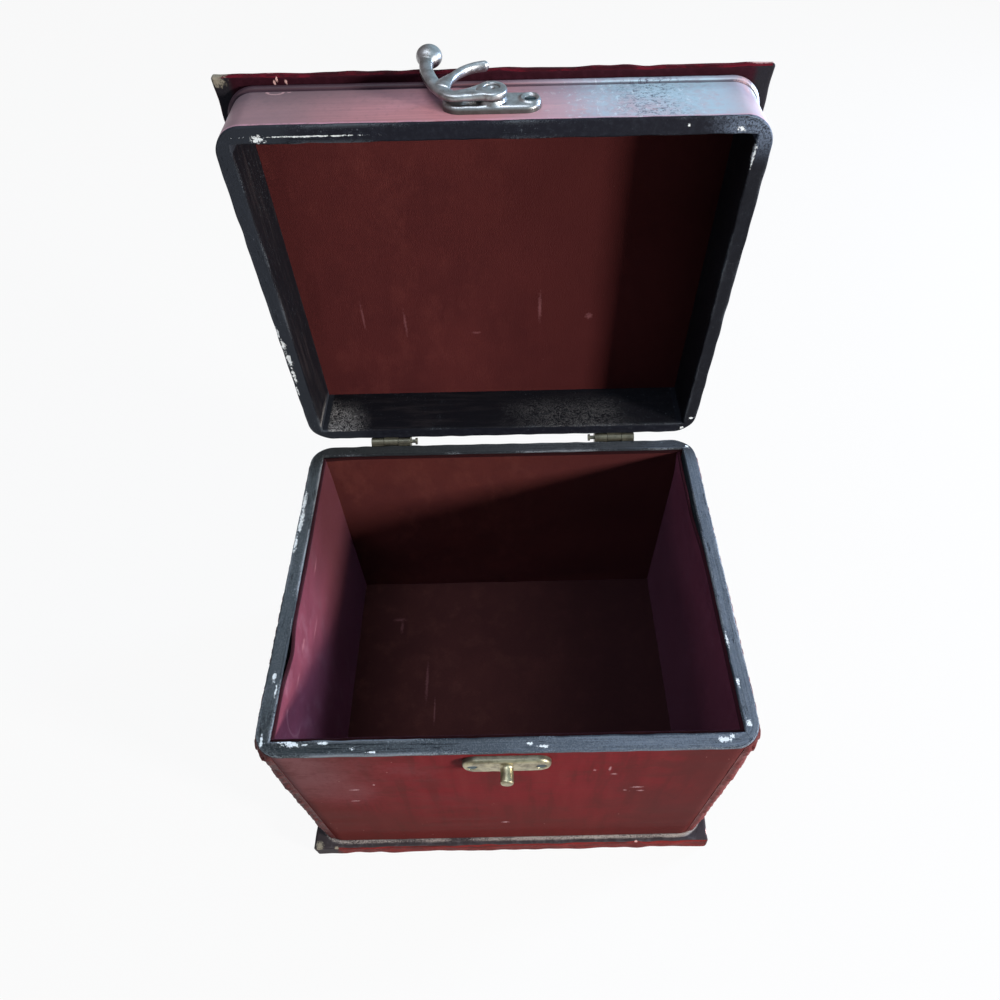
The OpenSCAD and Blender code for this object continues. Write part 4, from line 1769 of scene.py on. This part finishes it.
    def make(self, face: Face) -> bpy.types.Object:
        """Joins bar, finger, eye and ball, blends them on a fine grid and cuts the rivet's dish.

        Args:
            face: Where the latch sits.

        Returns:
            The hook, in place.
        """
        arm = self.smooth(self.arm())
        a = np.radians(np.linspace(-88, 88, 40))
        ball = turned(np.stack([self.ball_r * np.cos(a), self.ball_half_t * np.sin(a)], -1))
        ball = replace(ball, points=ball.points + np.array([-self.slot_out * 0.952, 19, self.lift]))
        r, t, b = self.eye_r, self.arm_t, self.back
        dish, bore, soft = 2.5, 1.65, 0.9
        eye = np.concatenate(
            [
                [[bore, b], [r - soft, b]],
                arc((r - soft, b + soft), soft, 270, 360, 5),
                arc((r - soft, b + t - soft), soft, 0, 90, 5),
                [[dish + 0.25, b + t + 0.12], [dish, b + t], [dish - 0.1, b + t - 0.9], [bore, b + t - 0.9]],
            ]
        )
        steps = np.linspace(0, 2 * math.pi, 64, endpoint=False)
        cos, sin = np.cos(steps)[:, None], np.sin(steps)[:, None]
        ring = np.stack([eye[:, 0] * cos, eye[:, 0] * sin, eye[:, 1] + 0 * cos], -1)
        web = self.bar(self.smooth(self.web()))
        finger = self.bar(self.finger(), square=2.4)
        shell = joined(self.bar(arm), web, finger, loft(ring, endless=True), ball)
        made = make_object("latch_hook_cast", face.shell(shell))
        grid = made.modifiers.new("Blend", "REMESH")
        grid.mode = "VOXEL"
        grid.voxel_size = self.grid * MM
        grid.use_smooth_shade = True
        relax = made.modifiers.new("Relax", "SMOOTH")
        relax.factor = 0.5
        relax.iterations = 5
        return made


@dataclass(frozen=True)
class Lamp:
    """Square lamp: the direction towards it, its distance and side in metres, its level and its colour.

    The level is the light on a surface that faces it, where 1 shows a colour as written.
    """

    name: str
    way: Triple
    far: float
    size: float
    level: float
    tint: Triple

    def hang(self) -> None:
        """Hangs the lamp so that it looks at the middle of the box."""
        data = bpy.data.lights.new(self.name, "AREA")
        data.size = self.size
        data.color = self.tint
        data.energy = self.level * math.pi**2 * self.far**2
        lamp = bpy.data.objects.new(self.name, data)
        toward = np.array(self.way) / np.linalg.norm(self.way)
        lamp.location = toward * self.far + np.array([0, 0, 0.12])
        lamp.rotation_euler = Vector(tuple(-toward)).to_track_quat("-Z", "Y").to_euler()
        bpy.context.scene.collection.objects.link(lamp)


@dataclass
class Studio:
    """Floor, light and camera. The camera was worked out from the edges of the box in the picture."""

    focal_px: float = 719.28
    frame_px: float = 1000.0
    centre_px: tuple[float, float] = (507.88, 495.14)
    place: Triple = (2.318, -153.787, 369.345)
    pitch: float = 51.64
    yaw: float = 0.134
    roll: float = 1.33
    lamps: tuple[Lamp, ...] = (
        Lamp("key", (0.85, -0.434, 0.245), 1.3, 0.18, 1.66, (1.0, 0.96, 0.92)),
        Lamp("window", (0.85, 0.31, 0.215), 1.1, 0.24, 1.4, (0.5, 0.68, 1.0)),
        Lamp("top", (-0.16, -0.1, 0.98), 1.2, 0.7, 0.6, (0.8, 0.9, 1.0)),
    )
    sky_level: float = 0.08
    floor_r: float = 6.0

    def camera(self) -> None:
        """Sets the camera from its lens in pixels, its place and its three turns."""
        pitch, yaw, roll = (math.radians(a) for a in (self.pitch, self.yaw, self.roll))
        turn = Matrix.Rotation(yaw, 4, "Z")
        right = turn @ Vector((1, 0, 0))
        up = turn @ Vector((0, math.sin(pitch), math.cos(pitch)))
        side = right * math.cos(roll) - up * math.sin(roll)
        top = right * math.sin(roll) + up * math.cos(roll)
        back = side.cross(top)
        data = bpy.data.cameras.new("camera")
        data.sensor_width = 36.0
        data.lens = 36.0 * self.focal_px / self.frame_px
        data.shift_x = (self.frame_px / 2 - self.centre_px[0]) / self.frame_px
        data.shift_y = (self.centre_px[1] - self.frame_px / 2) / self.frame_px
        data.clip_start = 0.01
        data.clip_end = 50
        camera = bpy.data.objects.new("camera", data)
        camera.matrix_world = Matrix(
            [[side[k], top[k], back[k], self.place[k] * MM] for k in range(3)] + [[0, 0, 0, 1]]
        )
        bpy.context.scene.collection.objects.link(camera)
        bpy.context.scene.camera = camera

    def sky(self) -> None:
        """World that lights softly, shows white to the camera, and has a blue right side in reflections.

        The reflected colour is a smooth step over the direction's X, from a dim room to a window's light.
        """
        world = bpy.data.worlds.new("studio")
        bpy.context.scene.world = world
        g = Graph(world, "ShaderNodeOutputWorld")
        way = g.node("ShaderNodeTexCoord", {}, {}, "Generated")
        right = g.axes(way)[0].step(-0.28, 0.24)
        room = g.mix(right, (0.34, 0.32, 0.33, 1), (0.62, 0.86, 1.0, 1))
        light = {"Color": (0.52, 0.68, 1.0, 1), "Strength": self.sky_level}
        shader = g.node("ShaderNodeBackground", {}, light)
        rays = {"Is Glossy Ray": room, "Is Transmission Ray": WHITE, "Is Camera Ray": WHITE}
        for ray, colour in rays.items():
            back = g.node("ShaderNodeBackground", {}, {"Color": colour, "Strength": 1.0})
            hit = g.node("ShaderNodeLightPath", {}, {}, ray)
            shader = g.node("ShaderNodeMixShader", {}, {0: hit, 1: shader, 2: back})
        g.tree.links.new(shader.socket, g.out.inputs["Surface"])

    def floor(self) -> None:
        """Wide pale floor that keeps the shadow and shows nearly white to the camera and in reflections."""
        g = Graph.finish_of("pale_floor")
        diffuse = g.node("ShaderNodeBsdfDiffuse", {}, {"Color": (0.5, 0.5, 0.5, 1)})
        glow = g.node("ShaderNodeEmission", {}, {"Color": WHITE, "Strength": 1.0})
        camera_ray = g.node("ShaderNodeLightPath", {}, {}, "Is Camera Ray")
        glossy_ray = g.node("ShaderNodeLightPath", {}, {}, "Is Glossy Ray")
        mixed = g.node("ShaderNodeMixShader", {}, {0: (camera_ray | glossy_ray) * 0.93, 1: diffuse, 2: glow})
        g.tree.links.new(mixed.socket, g.out.inputs["Surface"])
        a = np.linspace(0, 2 * math.pi, 96, endpoint=False)
        mesh = bpy.data.meshes.new("floor")
        points = np.stack([self.floor_r * np.cos(a), self.floor_r * np.sin(a), 0 * a - 0.0002], -1)
        mesh.from_pydata(points.tolist(), [], [list(range(len(a)))])
        mesh.materials.append(g.owner)
        floor = bpy.data.objects.new("floor", mesh)
        bpy.context.scene.collection.objects.link(floor)

    def build(self) -> None:
        """Sets up camera, lamps, sky and floor."""
        self.camera()
        self.sky()
        self.floor()
        for lamp in self.lamps:
            lamp.hang()


@dataclass
class Carcass:
    """Walls, base, floor board and side covers."""

    dresser: Dresser
    chips: tuple[Mark, ...] = level_marks(
        BOX.rim,
        (-74.2, -66.4, 2.4, 1.0, 1.2),
        (-77.4, -65.6, 1.3, 0.6, 1.0),
        (-63.4, -66.4, 1.1, 0.45, 1.0),
        (-69.6, -66.8, 1.0, 0.35, 1.0),
        (-53.2, -68.4, 0.55, 0.5, 1.0),
        (-46.0, -69.8, 1.3, 0.35, 1.0),
        (74.0, -67.9, 1.9, 0.9, 1.0),
        (77.0, -66.8, 0.8, 0.6, 1.0),
        (7.6, -67.9, 0.9, 0.6, 1.0),
        (12.5, -69.0, 1.5, 0.5, 1.0),
        (-86.4, 39, 0.7, 4.2, 1.2),
        (-86.2, 28, 0.9, 5.0, 1.2),
        (-86.6, 17, 0.6, 3.4, 1.2),
        (-84.6, -42, 0.6, 1.6, 1.0),
        (-83.0, -47, 0.35, 2.0, 1.0),
        (-84.8, -65.6, 0.45, 2.0, 1.6),
        (82.6, -31, 0.5, 2.4, 1.0),
        (83.2, -47, 0.5, 1.8, 1.0),
        (84.2, 66.4, 0.9, 0.9, 1.0),
        (84.0, -62.6, 0.8, 1.3, 1.0),
    )
    scuffs: tuple[Mark, ...] = (
        Mark(-58.6, -71, 86, 2.2, 1.5, 0.5),
        Mark(-60.8, -71, 71.7, 2.0, 1.5, 0.45),
        Mark(-50.5, -71, 91.8, 0.5, 1.5, 0.7),
        Mark(31.2, -71, 104, 0.7, 1.5, 1.0),
        Mark(36.6, -71, 105, 0.5, 1.5, 2.6),
        Mark(38.6, -71, 99, 1.4, 1.5, 0.8),
        Mark(44.9, -71, 79, 0.8, 1.5, 0.8),
        Mark(49.3, -71, 82.4, 2.4, 1.5, 0.9),
        Mark(51.0, -71, 78.0, 1.6, 1.5, 0.8),
        Mark(-2.4, -71, 35.6, 1.7, 1.5, 0.7),
    )
    cracks: tuple[Mark, ...] = level_marks(
        BOX.rim,
        (-62.0, -68.3, 9.0, 0.17, 1.0),
        (-50.0, -67.1, 11.0, 0.15, 1.0),
        (-38.0, -68.9, 8.0, 0.15, 1.0),
        (-66.0, -69.5, 6.0, 0.12, 1.0),
        (-22.0, -67.6, 7.0, 0.13, 1.0),
    )
    base_chips: tuple[Mark, ...] = (
        Mark(-88.6, -73.0, 8.6, 2.6, 2.2, 2.0),
        Mark(-80.6, -74.4, 9.0, 1.2, 1.0, 1.4),
        Mark(-90.9, -60.0, 9.0, 0.8, 3.0, 1.2),
        Mark(57.5, -74.2, 9.3, 0.9, 0.9, 0.6),
        Mark(90.8, -70.5, 9.2, 0.8, 1.4, 0.9),
    )

    def build(self) -> None:
        """Builds and dresses the pieces."""
        timber = BoxTimber("box_timber", self.chips, self.scuffs, self.cracks).make()
        frame = MitredFrame(BOX.rim - BOX.base_t, BOX.rim, -1.0, STILL, self.chips)
        for side in Side:
            thing = make_object(f"{side.label}_wall_painted", frame.side(side))
            Piece(thing, Body.BOX, Slot.LACQUER, f"{side.label}_wall").settle(timber)
        base = Board(BOX.base_over, 0.0, BOX.base_t, 0.5, 1.0, True, STILL, wobble=0.24)
        board = EdgedBoard(
            name="base_paint",
            dark=paint(62, 56, 58),
            dark_worn=paint(92, 88, 92),
            red=paint(122, 40, 38),
            red_deep=paint(90, 34, 32),
            red_worn=paint(104, 66, 62),
            flank=paint(58, 52, 54),
            red_from=-80.0,
            ring=0.85,
            chips=self.base_chips,
        ).make()
        thing = make_object("base_board_painted", base.make())
        Piece(thing, Body.BOX, Slot.BOARD, "base_board").settle(board)
        skin = EmbossedSkin("embossed_skin").make()
        for side in (Side.LEFT, Side.RIGHT):
            cover = make_object(f"{side.label}_cover_embossed", SideCover(side).make())
            Piece(cover, Body.BOX, Slot.COVER, f"{side.label}_side_cover").settle(skin)
        raw = PlainStock("raw_board", paint(120, 92, 66), paint(92, 68, 48)).make()
        self.dresser.dress(raw, "floor_board")


@dataclass
class Linings:
    """Pile cloth panels inside the box."""

    floor_marks: tuple[Mark, ...] = level_marks(
        14.0,
        (-59.6, 40.7, 4.4, 1.4, 1.6),
        (-58.0, 36.0, 1.2, 5.0, 1.6),
        (-42.6, 4, 1.0, 14.0, 1.6),
        (-38.0, -12, 0.6, 9.0, 1.6),
    )
    left_marks: tuple[Mark, ...] = (
        Mark(-80.7, -36, 108, 1.6, 4.0, 1.0),
        Mark(-80.7, -50, 104, 2.6, 5.5, 9.0, 0.12, 1),
        Mark(-80.7, -54, 91, 2.6, 7.5, 5.5, 0.16, 1),
        Mark(-80.7, -22, 110, 1.8, 4.0, 1.8),
        Mark(-80.7, 14, 112, 1.6, 5.0, 0.9),
        Mark(-80.7, -8, 98, 1.6, 7.0, 0.8),
    )

    def cloths(self) -> dict[str, bpy.types.Material]:
        """Finish of each panel.

        Returns:
            Materials by the panel's name.
        """
        # darker towards the right as painted shade
        flat = PileCloth(
            name="box_pile",
            cloth=paint(92, 44, 38),
            shade=paint(70, 33, 30),
            rubbed=paint(110, 60, 50),
            painted_lighting=paint(66, 30, 29),
            sheen=0.12,
            painted_shade_axis=0,
            painted_shade_from=-10,
            painted_shade_to=70,
        ).make()
        # a greyer, darker copy of the pile as painted shade, darker still towards the right
        floor = PileCloth(
            name="floor_cloth",
            cloth=paint(78, 44, 42),
            shade=paint(60, 33, 34),
            rubbed=paint(96, 58, 52),
            painted_lighting=paint(36, 19, 22),
            sheen=0.12,
            painted_shade_axis=0,
            painted_shade_from=-20,
            painted_shade_to=60,
            marks=self.floor_marks,
        ).make()
        # painted light: a lighter, pinker copy of the pile where side light falls, darker towards the back as
        # painted shade
        left = PileCloth(
            name="left_pile",
            cloth=paint(122, 61, 72),
            shade=paint(94, 44, 52),
            rubbed=paint(164, 112, 124),
            painted_lighting=paint(62, 28, 19),
            sheen=0.6,
            painted_shade_axis=1,
            painted_shade_from=-36,
            painted_shade_to=46,
            marks=self.left_marks,
            stroke=0.55,
            cloudy=0.09,
        ).make()
        # painted sheen: a brighter, more purple copy of the pile, darker towards the foot as painted shade
        right = PileCloth(
            name="right_pile",
            cloth=paint(122, 58, 76),
            shade=paint(98, 46, 61),
            rubbed=paint(140, 78, 96),
            painted_lighting=paint(38, 12, 16),
            sheen=0.15,
            painted_shade_axis=2,
            painted_shade_from=118,
            painted_shade_to=62,
        ).make()
        return {"front": flat, "back": flat, "left": left, "right": right, "floor": floor}

    def build(self) -> None:
        """Builds the four wall panels and the floor, and lays them in."""
        w, d, t, low = BOX.inner_w / 2, BOX.inner_d / 2, BOX.lining_t, BOX.floor
        high = BOX.rim - BOX.lining_drop - low
        up = (0.0, 0.0, 1.0)
        wide, deep = 2 * w, 2 * (d - t)
        behind, left, right = ((2, 7, 0.8),), ((32, 9, 1.3), (75, 20, 0.3)), ((12, 22, 1.5), (38, 14, 1.1))
        panels = {
            "front": PilePanel((w, -d, low), (-1, 0, 0), up, (0, 1, 0), wide, high, t, 0.25, 41),
            "back": PilePanel((-w, d, low), (1, 0, 0), up, (0, -1, 0), wide, high, t, 0.3, 42, behind),
            "left": PilePanel((-w, t - d, low), (0, 1, 0), up, (1, 0, 0), deep, high, t, 0.35, 43, left),
            "right": PilePanel((w, d - t, low), (0, -1, 0), up, (-1, 0, 0), deep, high, t, 0.35, 44, right),
        }
        cloths = self.cloths()
        for name, panel in panels.items():
            panel.lay(name, cloths[name], Held.STRETCHED, f"{name}_wall", STILL)
        thick, corner = BOX.floor_lining_t, (t - w, t - d, low)
        floor = PilePanel(corner, (1, 0, 0), (0, 1, 0), up, wide - 2 * t, deep, thick, 0.3, 45)
        floor.lay("floor", cloths["floor"], Held.LAID, "floor_board", STILL)


@dataclass
class Lid:
    """Rails, top board, bead, card and cloth, drawn shut and turned open."""

    dresser: Dresser
    placing: Placing
    chips: tuple[Mark, ...] = level_marks(
        BOX.lid_rim,
        (-72.7, -67.0, 1.9, 0.9, 1.2),
        (-57.0, -67.7, 14.0, 0.2, 1.0),
        (-87.0, 8.4, 0.5, 2.0, 1.2),
        (-86.4, 15.0, 0.7, 2.4, 1.2),
        (-86.0, 22.5, 0.8, 3.0, 1.2),
        (-86.2, 31.0, 0.6, 3.4, 1.2),
        (-86.8, 40.0, 0.4, 2.0, 1.2),
        (85.0, 61.9, 0.8, 0.8, 1.0),
        (82.0, 68.0, 0.8, 0.6, 1.0),
        (76.5, -67.3, 0.9, 0.7, 1.0),
        (60.0, -68.6, 0.4, 0.4, 1.0),
        (82.2, -59.0, 0.4, 3.2, 1.2),
    )
    scuffs: tuple[Mark, ...] = (
        Mark(-70.4, -71, 147.2, 2.6, 3.0, 1.6, 0.24),
        Mark(-66.0, -71, 147.0, 0.8, 1.5, 0.4),
        Mark(2.5, -71, 148.0, 1.6, 1.5, 0.5),
        Mark(20.0, -71, 134.0, 2.2, 1.5, 0.4),
        Mark(27.0, -71, 131.0, 3.0, 1.5, 0.5),
        Mark(81.5, -69.6, 144.0, 1.4, 1.8, 4.5),
        # painted highlight on the left front corner, not wear; it takes the light-blue scuff colour
        Mark(-86.2, -66.6, 137.5, 1.8, 2.6, 2.4),
        Mark(50.0, -71, 130.0, 1.6, 1.5, 0.6),
        Mark(-20.0, -71, 125.4, 3.0, 1.5, 0.4),
    )
    top_chips: tuple[Mark, ...] = (
        Mark(-89.6, -73.6, 151.8, 4.4, 2.6, 2.6),
        Mark(-70.8, -72.4, 150.4, 0.45, 1.2, 0.8),
        Mark(-69.8, -73.6, 150.4, 0.4, 0.9, 0.8),
        Mark(-67.0, -72.8, 150.4, 0.45, 1.0, 0.8),
        Mark(87.4, -74.6, 152.6, 5.6, 1.5, 1.5),
        Mark(-72.0, -74.6, 152.9, 2.4, 0.8, 0.9),
    )
    cloth_marks: tuple[Mark, ...] = level_marks(
        147.8,
        (-40.5, 24, 0.7, 8.0, 1.6),
        (-58.0, 20, 0.6, 9.0, 1.6),
        (-10.5, 30, 2.6, 0.8, 1.6),
        (17.0, 17, 1.0, 9.0, 1.6),
        (38.0, 22, 2.0, 2.0, 1.6),
    )
    bead_marks: tuple[Mark, ...] = (Mark(80.6, -70.4, 148.6, 3.0, 2.0, 1.6),)

    def placed(self, marks: tuple[Mark, ...]) -> tuple[Mark, ...]:
        """Marks that were drawn shut, where the lid stands."""
        return tuple(mark.placed(self.placing) for mark in marks)

    def build(self) -> None:
        """Builds and dresses the pieces."""
        timber = LidTimber("lid_timber", self.placed(self.chips), self.placed(self.scuffs)).make()
        frame = MitredFrame(BOX.lid_h, BOX.lid_rim, 1.0, self.placing, self.chips)
        for side in Side:
            thing = make_object(f"{side.label}_rail_painted", frame.side(side))
            Piece(thing, Body.LID, Slot.LACQUER, f"lid_{side.label}_rail").settle(timber)
        ceiling = BOX.lid_rim + BOX.lid_h
        top = Board(BOX.top_over, ceiling, BOX.top_t, 0.9, 0.9, False, self.placing, wobble=0.2)
        board = EdgedBoard(
            name="top_paint",
            dark=paint(46, 18, 26),
            dark_worn=paint(60, 26, 36),
            red=paint(92, 20, 32),
            red_deep=paint(54, 15, 22),
            red_worn=paint(70, 28, 34),
            flank=paint(36, 34, 38),
            red_from=-200.0,  # left of the board, so its whole edge is red
            ring=0.0,
            chips=self.placed(self.top_chips),
        ).make()
        thing = make_object("top_board_painted", top.make())
        Piece(thing, Body.LID, Slot.LACQUER, "lid_top_board").settle(board)
        self.bead()
        # darker towards the right as painted shade
        cloth = PileCloth(
            name="lid_pile",
            cloth=paint(86, 39, 37),
            shade=paint(68, 30, 30),
            rubbed=paint(102, 50, 46),
            painted_lighting=paint(62, 26, 25),
            sheen=0.1,
            painted_shade_axis=0,
            painted_shade_from=-30,
            painted_shade_to=50,
            marks=self.placed(self.cloth_marks),
            cut_at=1000.0,  # above the lid, so no edge is darkened
        ).make()
        w, d, t = BOX.inner_w / 2, BOX.inner_d / 2, BOX.cloth_t
        corner = (-w, d, ceiling - BOX.card_t)
        panel = PilePanel(corner, (1, 0, 0), (0, -1, 0), (0, 0, -1), 2 * w, 2 * d, t, 0.25, 46)
        panel.lay("lid", cloth, Held.STRETCHED, "lid_card", self.placing)
        card = PlainStock("grey_card", paint(70, 66, 62), paint(96, 90, 84)).make()
        self.dresser.dress(card, "lid_card")

    def bead(self) -> None:
        """Half-round strip: loops round the lid stacked along a half circle."""
        r, z = BOX.bead_r, BOX.lid_rim + BOX.lid_h - BOX.bead_r
        half = arc((0, 0), r, -90, 90, 14)
        outs = [-0.05, *half[:, 0], -0.05]
        plan = np.stack([rounded_loop(BOX.width + 2 * o, BOX.depth + 2 * o, BOX.corner_r + o) for o in outs])
        up = np.concatenate([[z - r], z + half[:, 1], [z + r]])
        points = stacked(plan, up)
        points[1:-1] += 0.05 * ripple(points[1:-1], 12, 21)[..., None]
        zero = np.zeros(len(up))[:, None]
        values = {"run": points[..., 0], "drop": (up - BOX.lid_rim)[:, None], "inset": zero, "edge": zero}
        thing = make_object("lid_bead_round", self.placing.shell(loft(points, values, endless=True)))
        finish = LidTimber("bead_lacquer", (), self.placed(self.bead_marks)).make()
        Piece(thing, Body.LID, Slot.LACQUER, "lid_bead").settle(finish)


@dataclass
class Fittings:
    """Catch, latch and hinges."""

    dresser: Dresser
    pivot: Triple
    outward: Triple

    def stud(self) -> Array:
        """Turned profile of the stud: a flare on the plate, a slim neck and a rounded end.

        Returns:
            Radius and height pairs.
        """
        foot, tip, soft, t = 3.1, 2.3, 0.8, BOX.plate_t
        top = t + 5.9
        flare = arc((foot + 0.4, t + 0.9), 0.9, 270, 180, 6) - np.array([0.35, 0])
        side = np.linspace(flare[-1], [tip, top - soft], 8)[1:]
        nose = arc((tip - soft, top - soft), soft, 0, 80, 5)
        ends = [[0.4, t - 0.6], [foot + 0.05, t - 0.6]], [[0.9, top - 0.02], [0.25, top - 0.12]]
        return np.concatenate([ends[0], flare, side, nose, ends[1]])

    def build(self) -> None:
        """Builds the plates, stud and hook, and dresses the small nodes."""
        front, out = (0.0, -1.0, 0.0), self.outward
        band = float(np.dot(self.pivot, out))
        tones = paint(176, 168, 140), paint(128, 120, 98), paint(62, 56, 44)
        brass = AgedMetal("old_brass", *tones, 0.66, front, BOX.depth / 2).make()
        tones = paint(168, 168, 170), paint(132, 130, 130), paint(94, 88, 80)
        bronze = AgedMetal("antique_bronze", *tones, 0.7, out, band).make()
        tones = paint(92, 108, 114), paint(58, 70, 76), paint(30, 34, 38)
        no_face = -1000.0  # so far behind the screws that no grime gathers on them
        steel = AgedMetal("screw_steel", *tones, 0.6, out, no_face).make()
        catch = Face((BOX.hasp_x, -BOX.depth / 2, BOX.rim - BOX.catch_down), (1, 0, 0), (0, 0, 1), front)
        latch = Face(self.pivot, (1, 0, 0), tuple(np.cross(out, (1.0, 0.0, 0.0))), out)
        plate = make_object("catch_plate_cast", catch.shell(RoundedPlate().make()))
        Piece(plate, Body.BOX, Slot.BRASS, "catch_plate").settle(brass)
        stud = make_object("catch_stud_turned", catch.shell(turned(self.stud())))
        Piece(stud, Body.BOX, Slot.BRASS, "catch_stud").settle(brass)
        seated = RoundedPlate(ring_h=0.5, seat_r=4.9, seat_h=3.2).make()
        plate = make_object("latch_plate_cast", latch.shell(seated))
        Piece(plate, Body.LID, Slot.BRONZE, "latch_plate").settle(bronze)
        Piece(LatchHook().make(latch), Body.HOOK, Slot.BRONZE, "latch_hook").settle(bronze)
        parts = ("body_leaf", "lid_leaf", "pin")
        hinges = [f"{side}_hinge_{part}" for side in ("left", "right") for part in parts]
        self.dresser.dress(bronze, "latch_rivet")
        self.dresser.dress(steel, "latch_screws", "catch_screws")
        self.dresser.dress(brass, *hinges, "hinge_body_screws", "hinge_lid_screws")


def corners(box: tuple) -> list[list[float]]:
    """A box's two corners as plain lists."""
    return [list(box[0]), list(box[1])]


def main() -> None:
    """Builds the studio and every sub-assembly around the frame."""
    logging.basicConfig(level=logging.INFO, format="%(name)s %(message)s")
    bpy.ops.wm.read_factory_settings(use_empty=True)
    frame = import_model()
    bpy.context.scene.view_settings.view_transform = "Standard"
    joints = {joint["name"]: joint for joint in frame["joints"]}
    hinge, turn = joints["lid_hinge"], joints["latch_turn"]
    dresser = Dresser(frame["nodes"])
    Studio().build()
    Carcass(dresser).build()
    Linings().build()
    Lid(dresser, Placing(Body.LID, hinge["pos_m"][1] / MM, hinge["pos_m"][2] / MM, OPEN_DEGREES)).build()
    Fittings(dresser, tuple(c / MM for c in turn["pos_m"]), tuple(turn["axis"])).build()


if __name__ == "__main__":
    main()
